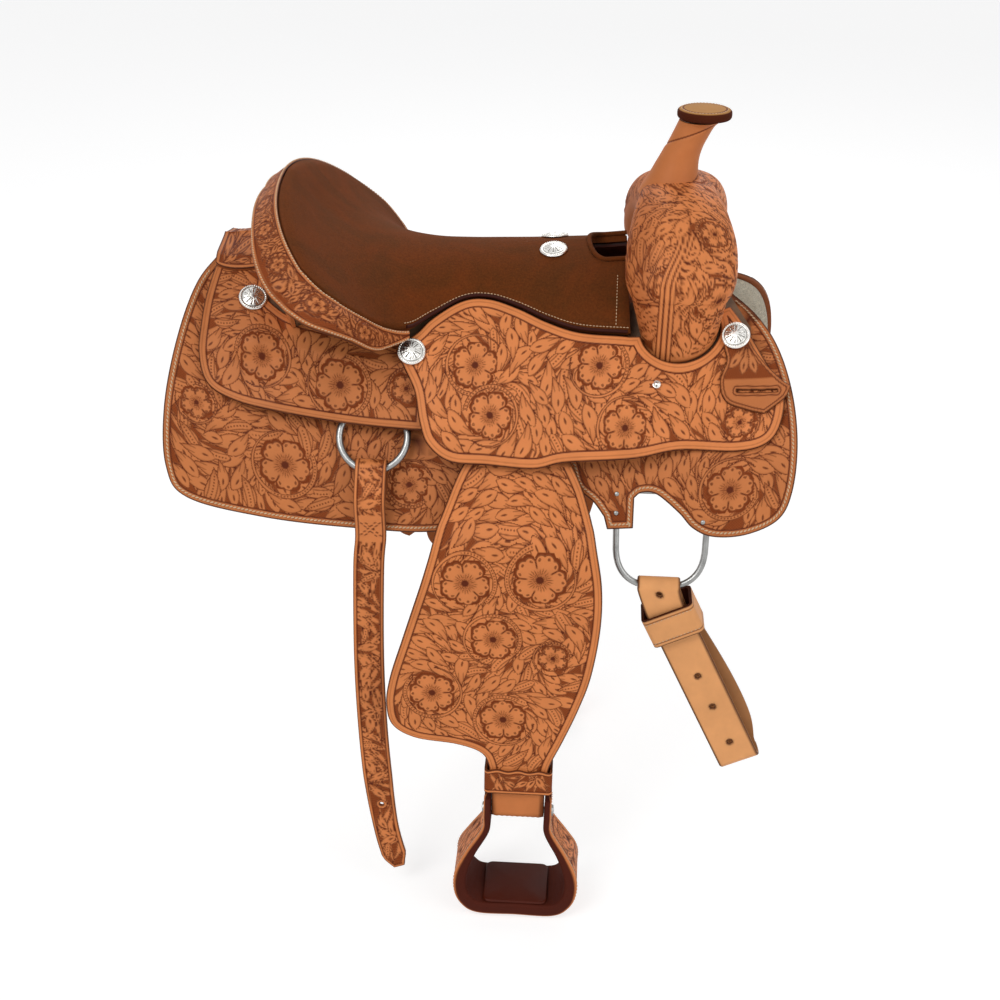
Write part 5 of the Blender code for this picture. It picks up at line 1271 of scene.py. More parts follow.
def make_roll():
    """Rolled edge behind the seat, carved small, with two rows of pale stitching."""
    across, row, reach = roll_stations(480)
    here, up, out = roll_frame(across, row)
    taper = 1 - 0.72 * ease(row, 3.2, 5.3)
    turned_over = ease(row, 0.0, 2.0)
    drop = mix(math.radians(56), math.radians(42), turned_over)[:, None]
    level = mix(0.1, 0.4, turned_over)[:, None]
    fuller = ease(across, 0.35, 0.95) * fade(row, 1.4, 3.0)
    wide = (ROLL_WIDTH * taper * (1 + 0.25 * fuller))[:, None]
    start = here + out * COVER_FIT
    bend = start + out * wide * level
    rim = bend + (out * np.cos(drop) - up * np.sin(drop)) * wide * (1 - level)
    share, level = np.linspace(0, 1, 40)[None, :, None], level[..., None]
    start, bend, rim = start[:, None], bend[:, None], rim[:, None]
    soft = (1 - share) ** 2 * start + 2 * share * (1 - share) * bend + share ** 2 * rim
    hard = np.where(share < level, mix(start, bend, share / level), mix(bend, rim, (share - level) / (1 - level)))
    top = mix(hard, soft, 0.55)
    normal = unit(np.cross(np.gradient(top, axis=0), np.gradient(top, axis=1)))
    normal = normal * np.sign(np.sum(normal * up[:, None], -1))[..., None]
    u = np.broadcast_to(reach[:, None], top.shape[:2])
    steps = np.cumsum(np.linalg.norm(np.diff(top, axis=1), axis=2), axis=1)
    v = np.concatenate([np.zeros((len(u), 1)), steps], 1)
    flowers = [(0.022 + 0.052 * k, 0.019, 0.0098) for k in range(6)]
    carving = Carving(u, v).fill(flowers, box_loop(0, 0.004, reach[-1], 0.033), 0.0075, 0.0185, 0.0080, 51)
    gap = np.minimum(v, v[:, -1:] - v)
    rise, tone, cut = carving.worked(ease(gap, 0.0052, 0.0058), ridge(gap, 0.0054, 0.0003, 0.0010), 0.4)
    fall_off = 0.0016 - np.sqrt(np.maximum(0.0016 ** 2 - np.clip(0.0016 - gap, 0, 0.0016) ** 2, 0))
    face = top + normal * ((rise - 1) * relief() * 0.8 - fall_off)[..., None]
    under = (top - normal * (ROLL_LEATHER * (0.5 + 0.5 * taper))[:, None, None])[:, ::-4]
    rings = both_halves(np.concatenate([face, under], 1))
    marks = backed((tone, cut, fade(gap, 0.0004, 0.0020)), (0.3, 0.0, 0.4), under.shape[1], 1)
    marks = [np.concatenate([mark[::-1][:-1], mark]) for mark in marks]
    lofted("cheyenne_roll", rings, marks, leather("tooled_dark"))
    lines = []
    for away in (np.abs(v - 0.0024), np.abs(v[:, -1:] - v - 0.0026)):
        k, n = np.argmin(away, axis=1), np.arange(len(u))
        lines.append((both_halves((face + normal * 0.0003)[n, k][::4]), both_halves(normal[n, k][::4]), False))
    stitches("roll_stitching", lines, (0.0036, 0.0030, 0.0015, 0.0014, 0.3))


def cantle_face(across, share, setback):
    crest = seat_surface(across + 1e-9, 0 * across) - np.array([0, 0, 0.033])
    foot_x = -0.205 + 0.030 * across ** 2
    down = 0.004 + 0.082 * np.abs(across)
    foot = barrel(foot_x, down, np.full(across.shape, SKIRT_LEATHER + GAP + BAR_THICK + COVER_FIT))
    foot[..., 1] *= -np.sign(across + 1e-9)
    away = unit(np.stack([-np.ones(across.shape), 0.9 * across, 0 * across], -1))
    return mix(crest, foot, share) + away * setback


def make_cantle_back():
    across = 0.94 * np.linspace(-1, 1, 161)
    cover = 0.012 + COVER_FIT
    outer, inner = np.linspace(0, 1, 40), np.linspace(1, 0, 12)
    rows = [cantle_face(across, share, cover + 0.004) for share in outer]
    rows += [cantle_face(across, share, cover) for share in inner]
    rings = np.array(rows).transpose(1, 0, 2)
    line = np.concatenate([ridge(outer, 0.12, 0.01, 0.03), np.zeros(12)])
    lofted("cantle_back", rings, (0.85, line, 0.0), leather("tooled_dark"))


# Fork and horn
FORK_STATIONS = [(0.000, 0.108, 0.029, 0.176, 0.262), (0.045, 0.101, 0.031, 0.170, 0.272),
                 (0.080, 0.079, 0.035, 0.164, 0.281), (0.100, 0.050, 0.036, 0.164, 0.281),
                 (0.104, 0.030, 0.033, 0.172, 0.272)]
FORK_LEATHER = 0.0045
HORN_NECK = [(0.2100, 0.118, 0.0350), (0.2135, 0.140, 0.0262), (0.2185, 0.158, 0.0212),
             (0.2255, 0.176, 0.0196), (0.2330, 0.192, 0.0200), (0.2375, 0.1975, 0.0222)]
CAP_X = 0.242
CAP_RADIUS = 0.0295
CAP_TOP = 0.2115
CAP_DEPTH = 0.0115


def fork_skin(inset, sides):
    """Rings from the off foot over the arch to the near foot, and how far each point faces out."""
    half = np.array(FORK_STATIONS)
    mirror = half[::-1][:-1] * np.array([-1, 1, 1, 1, 1])
    curve = resample(spline(np.vstack([mirror, half]), 20), 0.0013)
    run = unit(np.gradient(curve[:, :2], axis=0))
    outward = np.linspace(-0.35, math.pi + 0.35, sides * 3 // 4)
    angle = np.concatenate([outward, np.linspace(math.pi + 0.35, 2 * math.pi - 0.35, sides // 4 + 2)[1:-1]])
    along, through = (np.sign(way) * np.abs(way) ** 0.8 for way in (np.cos(angle), np.sin(angle)))
    across, up, half_thick, rear, front = (curve[:, k:k + 1] for k in range(5))
    x = (rear + front) / 2 + along * ((front - rear) / 2 - inset)
    reach = through * (half_thick - inset)
    rings = np.stack([x, across - run[:, 1:2] * reach, up + run[:, 0:1] * reach], -1)
    fx = FORK_FOOT[0] + np.cos(angle) * (0.041 - inset)
    down = FORK_FOOT[1] + np.sin(angle) * (0.033 - inset)
    foot = barrel(fx, down, bar_top(fx, down) + 0.0016)
    off = mix(foot[None], rings[0][None], np.linspace(0, 1, 34)[:-1, None, None])
    return np.concatenate([off, rings, (off * FLIPS["near"])[::-1]]), through


def make_fork_cover():
    """Carved cover of the swell, with a plain grooved welt up each side."""
    sides = 264
    outer, through = fork_skin(0.0, sides)
    inner = fork_skin(FORK_LEATHER, sides)[0][::-9]
    x = outer[..., 0]
    step = np.linalg.norm(outer - np.roll(outer, 1, 1), axis=2)
    step[:, 0] = 0
    u = np.cumsum(step, axis=1)
    s = along_curve(outer[:, np.argmax(through)])[:, None] * np.ones(x.shape)
    far = s.max()
    ends = np.minimum(s, far - s)
    outward = ease(np.broadcast_to(through, x.shape), -0.3, 0.0)
    flowers = [(0.046, 0.074, 0.0200), (0.108, 0.092, 0.0150), (0.060, 0.150, 0.0150)]
    flowers += [(a, far - b, size) for a, b, size in flowers] + [(0.060, far / 2, 0.018)]
    carving = Carving(u, s).fill(flowers, box_loop(0.0, 0.0, 0.170, far), 0.0160, 0.036, 0.0140, 67)
    offset = x - (0.2075 + 0.017 * ease(ends, 0.085, 0.145))
    strip = ridge(offset, 0.0, 0.0082, 0.0086) * outward * fade(ends, 0.142, 0.146)
    grooves = np.maximum.reduce([ridge(offset, place, 0.0004, 0.0014) for place in (-0.0080, -0.0030, 0.0030, 0.0080)])
    field = outward * ease(ends, 0.006, 0.0068) * (1 - strip)
    rise, tone, cut = carving.worked(field, grooves * strip)
    rise = rise + strip * (0.9 - 1.2 * grooves)
    # Painted shade: darker towards the back of the swell, which is the front wall of the hand hole.
    tone = tone * (1 - 0.35 * fade(x, 0.180, 0.206))
    normal = unit(np.cross(np.gradient(outer, axis=0), np.roll(outer, -1, 1) - np.roll(outer, 1, 1)))
    normal = normal * np.sign(np.sum(normal * (outer - outer.mean(1, keepdims=True)), -1))[..., None]
    tube = np.concatenate([outer + normal * ((rise - 1) * relief())[..., None], inner])
    marks = backed((tone, cut, fade(ends, 0.0008, 0.003)), (0.3, 0.0, 0.6), len(inner))
    lofted("fork_cover", tube, marks, leather("tooled"), closed=True)


def turned(profile, centre, sides):
    """Rings of a turned shape about an upright axis; profile is (x shift, radius, height)."""
    angle = turns(sides)
    shift, radius, height = (profile[:, k:k + 1] for k in range(3))
    return np.stack([centre + shift + radius * np.cos(angle), radius * np.sin(angle), height + 0 * angle], -1), angle


def make_horn():
    """Wrapped neck with a spiral seam, and the cap with its stitched edge."""
    neck = np.array([(x - CAP_X, radius, up) for x, up, radius in HORN_NECK])
    neck = resample(spline(neck, 12), 0.0016)
    outer, angle = turned(neck, CAP_X, 96)
    inner = turned(neck - np.array([0, 0.003, 0]), CAP_X, 96)[0]
    seam = ((angle - 0.9) / (2 * math.pi) * 0.060 + 0.120 - neck[:, 2:3]) % 0.060
    line = ridge(seam, 0.030, 0.0004, 0.0014)
    lift = 0.0007 * ease(seam, 0.030, 0.034) * fade(seam, 0.046, 0.060) - 0.0006 * line
    skin = outer + unit(outer - outer.mean(1, keepdims=True)) * lift[..., None]
    tube = np.concatenate([skin, inner[::-1]])
    marks = backed((np.full(line.shape, 0.95), line), (0.3, 0.0), len(inner))
    lofted("horn_wrap", tube, (*marks, 0.0), leather("tooled_dark"), closed=True)
    rim = CAP_RADIUS
    profile = [(0.0008, 0.0), (0.010, 0.0001), (0.020, 0.0007), (rim - 0.004, 0.0014), (rim - 0.0016, 0.0022),
               (rim - 0.0003, 0.0036), (rim, 0.006), (rim - 0.0002, 0.0092), (rim - 0.0012, CAP_DEPTH - 0.0006),
               (rim - 0.0022, CAP_DEPTH), (rim - 0.0027, CAP_DEPTH - 0.0008), (rim - 0.0027, 0.0040),
               (0.0008, 0.0030)]
    line = resample(np.array([(0.0, radius, CAP_TOP - fall) for radius, fall in profile]), 0.0008)
    rings, _ = turned(line, CAP_X, 128)
    face = ease(line[:, 2:3], CAP_TOP - 0.0026, CAP_TOP - 0.0018)
    groove = ridge(line[:, 1:2], rim - 0.0062, 0.0004, 0.0012) * face
    lofted("horn_cap", rings, (face, groove, 0.8 * (1 - face)), leather("cap"), "dark_leather")
    flat_ring = circle(CAP_X, 0.0, rim - 0.0045, 90)
    ring = np.column_stack([flat_ring, np.full(90, CAP_TOP - 0.0012)])
    stitches("horn_cap_stitching", [(ring, np.tile([0.0, 0.0, 1.0], (90, 1)), True)],
             (0.0036, 0.0027, 0.0009, 0.0008, 0.0))


# Fenders and stirrup leathers
def make_fenders():
    outer = outline(FENDER_REAR, [FENDER_REAR[-1], FENDER_FRONT[0]], FENDER_FRONT,
                    [FENDER_FRONT[-1], FENDER_REAR[0]])
    flowers = [(0.005, -0.2582, 0.0255), (0.0861, -0.2504, 0.0275), (0.0364, -0.3288, 0.0235),
               (-0.0313, -0.4022, 0.0240), (0.0492, -0.4342, 0.0245), (0.103, -0.350, 0.0160)]
    inner = STIRRUP_LEATHER + GAP
    carved_sheet("fender", outer, hanging, flat(inner), flat(inner + FENDER_LEATHER), 0.0090, flowers, 71,
                 "tooled", "fender_body", lambda x, y: y < -0.14)


def make_stirrup_leathers():
    """Strap off the bar, down behind the fender, round the bolt and up again inside."""
    angle = np.linspace(0, math.pi, 25)
    turn = np.stack([HANG_PLANE - BOLT_RADIUS + BOLT_RADIUS * np.cos(angle),
                     BOLT_Z - BOLT_RADIUS * np.sin(angle)], 1)
    course = np.vstack([HANG[:-1], turn, [(HANG_PLANE - 2 * BOLT_RADIUS, BOLT_Z + 0.110)]])
    course = resample(course, 0.0012)
    run = unit(np.gradient(course, axis=0))
    points = np.stack([0 * run[:, 0] + HANG_X, -course[:, 0], course[:, 1]], 1)
    faces = np.stack([0 * run[:, 0], run[:, 1], run[:, 0]], 1)
    strap = Ribbon(points, faces, np.tile([1.0, 0.0, 0.0], (len(points), 1)), steps=1)
    end, half = strap.reach[-1] - 0.0001, STRAP_HALF
    loop = np.array([(0.0, -0.022), (0.055, -half), (end, -half), (end, half), (0.055, half), (0.0, 0.022)])
    piece = FlatPiece([loop], 0.0035, coarse=0.0035)
    shell = piece.shell(strap.place, flat(0.0), flat(STIRRUP_LEATHER))
    marks = piece.marks(0.90, 0.7 * ridge(piece.gap, 0.004, 0.0004, 0.0014), 0.0022)
    both_sides("stirrup_leather", shell, marks, leather("tooled"), "fender_body", "dark_leather")


def make_hobble_straps():
    """Band round the fender's neck: tooled above, plain below, with a wavy upper edge."""
    low = HANG_PLANE - 2 * BOLT_RADIUS - STIRRUP_LEATHER - 0.0008
    high = HANG_PLANE + STIRRUP_LEATHER + GAP + FENDER_LEATHER + LEATHER_FIT
    half, wall = 0.0362, 0.003
    section = rounded_section(half + wall, (high - low) / 2 + wall, 0.005, 240)
    inner = rounded_section(half, (high - low) / 2, 0.002, 240)
    share = np.linspace(0, 1, 44)
    rings = []
    for skin, shares in ((section, share), (inner, share[::-3])):
        for s in shares:
            x = skin[:, 0]
            up = mix(-0.5022, -0.534, s) + 0.0012 * np.cos(x * 2 * math.pi / 0.024) * (1 - s)
            rings.append(np.stack([HANG_X + x, -((high + low) / 2 + skin[:, 1]), up], 1))
    rings = np.array(rings)
    count = len(share)
    x, z = rings[:count, :, 0] - HANG_X, rings[:count, :, 2]
    carving = Carving(x, z).fill([], box_loop(-0.040, -0.531, 0.040, -0.504), 0.0110, 0.022, 0.0095, 83)
    gap = np.minimum(share * 0.032, 0.032 - share * 0.032)[:, None] * np.ones(x.shape)
    rise, tone, cut = carving.worked(ease(gap, 0.0038, 0.0044), ridge(gap, 0.0040, 0.0003, 0.0010))
    rings[:count, :, 1] -= (rise - 1) * 0.0005 * np.sign(section[:, 1]) * (np.abs(section[:, 1]) > 0.011)
    marks = backed((tone, cut, fade(gap, 0.0004, 0.0016)), (0.3, 0.0, 0.5), len(rings) - count)
    both_sides("hobble_strap", loft(rings, closed=True), loft_marks(rings.shape[:2], *marks, True),
               leather("tooled"), "fender_body", "tooled_leather")


# Stirrups
def stirrup_path():
    ear = STRAP_HALF + 0.001 + 0.0039
    tread = BOLT_Z - 0.127 + 0.007
    wide = 0.066
    points = [(ear, BOLT_Z + 0.022, 0.0078, 0.030), (ear, BOLT_Z + 0.004, 0.0078, 0.046),
              (ear + 0.001, BOLT_Z - 0.018, 0.0088, 0.048),
              (wide - 0.013, BOLT_Z - 0.048, 0.011, 0.056), (wide - 0.002, BOLT_Z - 0.073, 0.014, 0.068),
              (wide - 0.001, tread + 0.026, 0.015, 0.075), (wide - 0.008, tread + 0.010, 0.016, 0.078),
              (wide - 0.024, tread, 0.016, 0.078), (0.0, tread, 0.016, 0.078)]
    half = spline(points, 14)
    mirror = half[::-1][1:] * np.array([-1, 1, 1, 1])
    return resample(np.vstack([half, mirror]), 0.0016)


def make_stirrups():
    path = stirrup_path()
    run = unit(np.gradient(path[:, :2], axis=0))
    lean = np.stack([-run[:, 1], run[:, 0]], 1)
    lean = lean * -np.sign(np.sum(lean * (np.array([0, BOLT_Z - 0.06]) - path[:, :2]), 1))[:, None]
    rings, depths, outs = [], [], []
    for (x, up, thick, depth), way in zip(path, lean):
        section = rounded_section(depth / 2, thick / 2, 0.0035, 112)
        over, through = section[:, 0], section[:, 1]
        rings.append(np.stack([HANG_X + x + way[0] * through, -(BOLT_OUT + over), up + way[1] * through], 1))
        depths.append(over)
        outs.append(through / (thick / 2))
    rings, depths, outs = np.array(rings), np.array(depths), np.array(outs)
    s = along_curve(path[:, :2])[:, None] * np.ones(depths.shape)
    outer = ease(outs, 0.55, 0.9)
    carving = Carving(s, depths).fill([], box_loop(0.0, -0.034, s.max(), 0.034), 0.0145, 0.030, 0.0125, 97)
    gap = path[:, 3:4] / 2 - np.abs(depths)
    line = ridge(gap, 0.0085, 0.0003, 0.0010) * outer
    rise, tone, cut = carving.worked(outer * ease(gap, 0.0085, 0.0090), line)
    way = np.stack([lean[:, 0], 0 * lean[:, 0], lean[:, 1]], 1)
    rings = rings + way[:, None] * ((rise - 1) * 0.0006)[..., None]
    both_sides("stirrup", loft(rings), loft_marks(rings.shape[:2], tone * outer, cut * outer, 0.0),
               leather("stirrup"), "stirrup_body", "dark_leather", suffix="leathered")
    lines = []
    for side in (-1, 1):
        place = path[:, :2] + lean * (path[:, 2:3] / 2 + 0.0003)
        over = BOLT_OUT + side * (path[:, 3] / 2 - 0.0050)
        points = np.stack([HANG_X + place[:, 0], -over, place[:, 1]], 1)
        lines.append((points[6:-6:3], way[6:-6:3], False))
    stitch_rows("stirrup_stitching", lines, "stirrup_body", (0.0046, 0.0036, 0.0012, 0.0010, 0.0))
    floor = BOLT_Z - 0.127 + 0.014 + 0.0014
    rings = []
    for up, shrink in ((0.0, 0.0008), (0.0004, 0.0), (0.0018, 0.0), (0.0026, 0.0006), (0.0030, 0.0020)):
        section = rounded_section(0.038 - shrink, 0.036 - shrink, 0.008, 96)
        rings.append(np.stack([HANG_X + section[:, 0], -(BOLT_OUT + section[:, 1]), np.full(96, floor + up)], 1))
    both_sides("tread_pad", loft(np.array(rings)), loft_marks((5, 96), 1.0, 0.0, 0.0), leather("dark"),
               "stirrup_body", "dark_leather")


# Rigging
REAR_DEE_RADIUS = 0.037
REAR_DEE_WIRE = 0.004
REAR_DEE_X = -0.100
AHEAD = np.array([1.0, 0.0, 0.0])
OUT = np.array([0.0, -1.0, 0.0])


def dee_frame(top, low):
    """A dee's top, the way it leans and the way it faces."""
    lean = unit((low - top) * np.array([0, 1, 1]))
    face = np.cross(AHEAD, lean)
    return top, lean, face * -np.sign(face[1])


def rear_dee_frame():
    top = spot(REAR_DEE_X, 0.150, SKIRT_LEATHER + 0.0026 + LEATHER_FIT + REAR_DEE_WIRE + COVER_FIT)
    return dee_frame(top, spot(REAR_DEE_X, 0.150 + 2 * REAR_DEE_RADIUS, SKIRT_LEATHER + 2 * COVER_FIT + 0.0110))


def front_dee_frame():
    return dee_frame(spot(0.215, 0.265, -0.0077), spot(0.215, 0.267, -0.0077))


def make_dees():
    top, lean, _ = rear_dee_frame()
    angle = turns(120)[:, None]
    ring = top + lean * REAR_DEE_RADIUS + REAR_DEE_RADIUS * (np.cos(angle) * AHEAD + np.sin(angle) * lean)
    both_sides("rear_dee", pipe(ring, REAR_DEE_WIRE, True, 20), None, steel(), "rear_dee_body", "steel")
    here, lean, _ = front_dee_frame()
    half = 0.0465
    bow = [(-half + 0.008, -0.026), (half - 0.008, -0.026), (half + 0.001, -0.018), (half + 0.0025, 0.010)]
    for turn in np.linspace(0, math.pi, 25):
        along = math.copysign(abs(math.cos(turn)) ** 0.77, math.cos(turn))
        bow.append(((half + 0.002) * along, 0.030 + 0.049 * abs(math.sin(turn)) ** 0.77))
    bow += [(-half - 0.0025, 0.010), (-half - 0.001, -0.018)]
    flat_line = resample(np.array(bow), 0.0022, True)
    line = here + flat_line[:, :1] * AHEAD + flat_line[:, 1:] * lean
    both_sides("front_dee", pipe(line, 0.0035, True, 18), None, steel(), "saddle", "steel")


class Course:
    """Points that a strap passes, with the way that its face points at each."""

    def __init__(self):
        self.points, self.faces = [], []

    def run(self, face, *points):
        self.points += points
        self.faces += [face] * len(points)

    def bend(self, centre, radius, across, along, angles):
        for angle in angles:
            way = across * math.cos(angle) + along * math.sin(angle)
            self.run(way, centre + way * radius)


def make_dee_hangers():
    top, lean, face = rear_dee_frame()
    bore = REAR_DEE_WIRE + LEATHER_FIT
    course = Course()
    course.run(face, top - lean * 0.026 + face * bore, top - lean * 0.006 + face * bore)
    course.bend(top + lean * 0.0012, bore, lean, face, np.linspace(math.pi / 2, -math.pi / 2, 7))
    course.run(-face, top - lean * 0.006 - face * bore, top - lean * 0.022 - face * bore)
    count = len(course.points)
    strap = Ribbon(course.points, course.faces, [AHEAD] * count)
    strap_piece("dee_hanger", strap, np.full(count, 0.010), 0.0026, "dark", "saddle", "dark_leather")


def strap_piece(name, strap, halves, thickness, kind, body, slot, holes=(), carve=None, labels=("off", "near"),
                edge=0.0016):
    """A flat strap along a ribbon, as wide as halves say at the ribbon's knots."""
    even = np.linspace(0, strap.reach[-1], 90)
    half = np.interp(even, strap.knots[:len(halves)], halves)
    loop = np.vstack([np.stack([even, -half], 1), np.stack([even, half], 1)[::-1]])
    piece = FlatPiece([loop] + [circle(s, w, r) for s, w, r in holes], 0.0016, coarse=0.004)
    line = ridge(piece.gap, 0.0038, 0.0003, 0.0011)
    rise, tone, cut = carve(piece) if carve else (-0.3 * line, 1.0, 0.8 * line)
    shell = piece.shell(strap.place, flat(0.0), flat(thickness), rise * 0.0006, rounding=0.0010)
    both_sides(name, shell, piece.marks(tone, cut, edge), leather(kind), body, slot, labels)


def strap_wides(points, faces, first):
    """The way across a strap at each point: level until the first, then square to its course."""
    wides = [AHEAD] * first
    for k in range(first, len(points)):
        wide = unit(np.cross(faces[k], points[min(k + 1, len(points) - 1)] - points[k - 1]))
        wides.append(wide * np.sign(wide[0]))
    return wides


BILLET_DROP = [(-0.099, 0.0), (-0.103, 0.080), (-0.105, 0.190), (-0.103, 0.280), (-0.098, 0.360),
               (-0.090, 0.430), (-0.080, 0.476)]


def make_rear_billets():
    for label, share in (("off", 1.0), ("near", 0.46)):
        make_rear_billet(label, share)


def make_rear_billet(label, share):
    """Tooled strap folded round the rear dee, with a crossed lace and a hole."""
    top, lean, face = rear_dee_frame()
    eye = top + lean * (2 * REAR_DEE_RADIUS - 0.0019)
    bore = 0.0070
    clear = abs(spot(REAR_DEE_X, 0.291, SKIRT_LEATHER + 0.0015)[1])
    level = eye[2] - 0.072
    course = Course()
    course.run(-face, eye + lean * 0.034 - face * (bore - 0.0050), eye + lean * 0.016 - face * (bore - 0.0015))
    course.bend(eye, bore, face, lean, np.linspace(math.pi, 2 * math.pi, 9))
    course.run(face, eye + lean * 0.018 + face * (bore - 0.001), eye + lean * 0.040 + face * 0.0008)
    course.run(OUT, np.array([REAR_DEE_X, -(clear + 0.0004), level]))
    folded = len(course.points)
    middles, drops = zip(*BILLET_DROP)
    for down in drops[1:]:
        x = np.interp(share * down, drops, middles)
        course.run(OUT, np.array([x, -(clear + 0.0010), level - share * (down - 0.040)]))
    course.run(OUT, course.points[-1] + np.array([0.006, 0, -0.016 * share]))
    halves = [0.017] * (folded + len(drops) - 3) + [0.0150] * 2 + [0.0068]
    strap = Ribbon(course.points, course.faces, strap_wides(course.points, course.faces, folded))
    lace = strap.knots[13] - 0.010
    holes = [(strap.reach[-1] - 0.095 * share, 0.0, 0.0026)] if share == 1.0 else []

    def carve(piece):
        carving = Carving(piece.x, piece.y).fill([], piece.loops, 0.0135, 0.028, 0.0115, 103)
        along, across = piece.x - lace, piece.y
        field = ease(piece.gap, 0.0036, 0.0042) * ease(np.abs(along), 0.016, 0.018)
        rise, tone, cut = carving.worked(field, ridge(piece.gap, 0.0038, 0.0003, 0.0010), 0.4)
        here = (np.abs(along) < 0.0095) * 1.0
        for slope in (1, -1):
            band = np.abs(across - slope * along)
            strip = fade(band, 0.0022, 0.0028) * here
            rise, tone, cut = mix(rise, 2.4, strip), mix(tone, 1.0, strip), mix(cut, 0.0, strip)
            cut = np.maximum(cut, ridge(band, 0.0027, 0.0003, 0.0009) * here)
        return rise - 1, tone, cut

    strap_piece("rear_billet", strap, halves, 0.004, "tooled", "rear_billet_body", "tooled_leather", holes, carve,
                (label,))


STRAP_LEAN = np.array([0.44, 0.0, -0.90]) / math.hypot(0.44, 0.90)


def dee_bottom():
    here, lean, _ = front_dee_frame()
    return here + lean * 0.0790


def strap_across():
    across = unit(np.cross([0.0, 1.0, 0.0], STRAP_LEAN))
    return across * np.sign(across[0])


def make_cinch_strap():
    """Folded cinch strap: a loop over the dee's bow, down to a bight and back up behind."""
    eye, slope = dee_bottom(), STRAP_LEAN
    bore, fold = 0.0075, 0.0095
    below, lower = eye + np.array([0.006, 0, -0.018]), eye + np.array([0.022, 0, -0.052])
    front = lower + OUT * 0.0015
    course = Course()
    course.run(-OUT, lower - OUT * (bore - 0.0060), below - OUT * (bore - 0.001))
    course.bend(eye, bore, OUT, np.array([0, 0, -1.0]), np.linspace(math.pi, 2 * math.pi, 9))
    course.run(OUT, below + OUT * (bore - 0.001), front, front + slope * 0.070, front + slope * 0.140,
               front + slope * 0.182)
    bight = front + slope * 0.182 - OUT * fold
    course.bend(bight, fold, OUT, slope, np.linspace(0, math.pi, 7)[1:])
    back, shift = bight - OUT * fold, np.array([0.009, 0, 0])
    course.run(-OUT, back - slope * 0.040 + shift, back - slope * 0.100 + shift, back - slope * 0.186)
    points = course.points
    wides = [AHEAD] * 12
    for k in range(12, len(points)):
        run = points[min(k + 1, len(points) - 1)] - points[k - 1]
        wide = unit(np.cross([0.0, 1.0, 0.0], [run[0], 0, run[2]]))
        wides.append(wide * np.sign(wide[0]))
    wides[16:22] = [strap_across()] * 6
    strap = Ribbon(points, course.faces, wides)
    holes = [(strap.knots[knot] + shift, 0.0, 0.0028)
             for knot, shift in ((10, 0.004), (13, -0.006), (13, 0.038), (14, 0.020), (14, 0.066))]

    def carve(piece):
        smooth = ease(piece.gap, 0.0010, 0.0050)
        stain = 0.5 + 0.5 * np.sin(piece.x * 61 + 2 * np.sin(piece.y * 140)) * np.sin(piece.y * 97 + piece.x * 23)
        return 0 * smooth, 0.62 + 0.30 * smooth + 0.14 * stain, 0.0

    strap_piece("billet", strap, [0.023] * len(points), 0.004, "plain", "billet_body", "plain_leather", holes, carve,
                ("off",), 0.0026)


def make_strap_band():
    """Leather band round the folded cinch strap, stitched along both edges."""
    centre, slope, across = dee_bottom() + np.array([0.018, 0, -0.0415]), STRAP_LEAN, strap_across()
    high, low = 0.0112, -0.0270
    half, wall, reach = 0.0265, 0.0035, 0.018
    rings, gaps = [], []
    for grow, alongs in ((wall, np.linspace(-reach, reach, 26)), (0.0, np.linspace(reach, -reach, 8))):
        section = rounded_section(half + grow, (high - low) / 2 + grow, 0.003 + grow, 200)
        for along in alongs:
            rings.append(centre + slope * along + across * section[:, :1]
                         + OUT * ((high + low) / 2 + section[:, 1:]))
            gaps.append([reach - abs(along) if grow else 0.0])
    rings, gap = np.array(rings), np.array(gaps)
    marks = (0.85, 0.8 * ridge(gap, 0.0045, 0.0005, 0.0012), fade(gap, 0.0004, 0.0018))
    lofted("off_billet_band", rings, marks, leather("plain"), "plain_leather", "off_billet_body", True)
    start = centre + across * np.linspace(-half + 0.001, half - 0.001, 30)[:, None] + OUT * (high + wall + 0.0003)
    lines = [(start + slope * side * 0.0125, np.tile(OUT, (30, 1)), False) for side in (-1, 1)]
    stitches("off_band_stitching", lines, (0.0040, 0.0030, 0.0010, 0.0008, 0.0), "off_billet_body")


# Silver
CONCHO_RADIUS = 0.0155
CONCHO_HEIGHT = 0.005


def node_frame(node):
    """Middle of a flat round solid's base and the way it stands, from its own vertices."""
    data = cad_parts[node].data
    points = np.zeros(3 * len(data.vertices))
    data.vertices.foreach_get("co", points)
    points = np.unique(np.round(points.reshape(-1, 3), 7), axis=0)
    rim = points.mean(0)
    axis = np.linalg.svd(points - rim)[2][2]
    if axis[2] < 0:
        axis = -axis
    level = (points - rim) @ axis
    low = points[level < level.min() + 0.0003]
    middle = (low.max(0) + low.min(0)) / 2
    middle = middle + axis * (level.min() - (middle - rim) @ axis)
    side = unit(np.cross(axis, [1.0, 0.0, 0.0]))
    return middle, np.cross(side, axis), side, axis


def concho_shell(radius, height, petals):
    """Domed disc engraved with petals inside a ring, and its engraved lines."""
    profile = np.array([(0.01, 1.0), (0.10, 1.0), (0.30, 0.93), (0.45, 0.80), (0.60, 0.62), (0.72, 0.50),
                        (0.78, 0.40), (0.86, 0.44), (0.93, 0.40), (0.985, 0.22), (1.0, 0.05), (0.97, 0.0)])
    line = resample(profile * np.array([radius, height]), 0.00035)
    angle = turns(96)
    share = line[:, :1] / radius
    window = ease(share, 0.16, 0.26) * fade(share, 0.62, 0.72)
    groove = ease(1 - np.abs(np.cos(angle * petals / 2)), 0.55, 0.85) * window
    scroll = ease(np.sin(angle * petals * 2 + share * 16), 0.5, 0.9) * window * 0.7
    ring = ridge(share, 0.76, 0.01, 0.04) + 0 * angle
    z = line[:, 1:2] - 0.0004 * groove - 0.00025 * scroll
    rings = np.stack([line[:, :1] * np.cos(angle), line[:, :1] * np.sin(angle), z], -1)
    return rings, np.maximum.reduce([groove, scroll, ring])


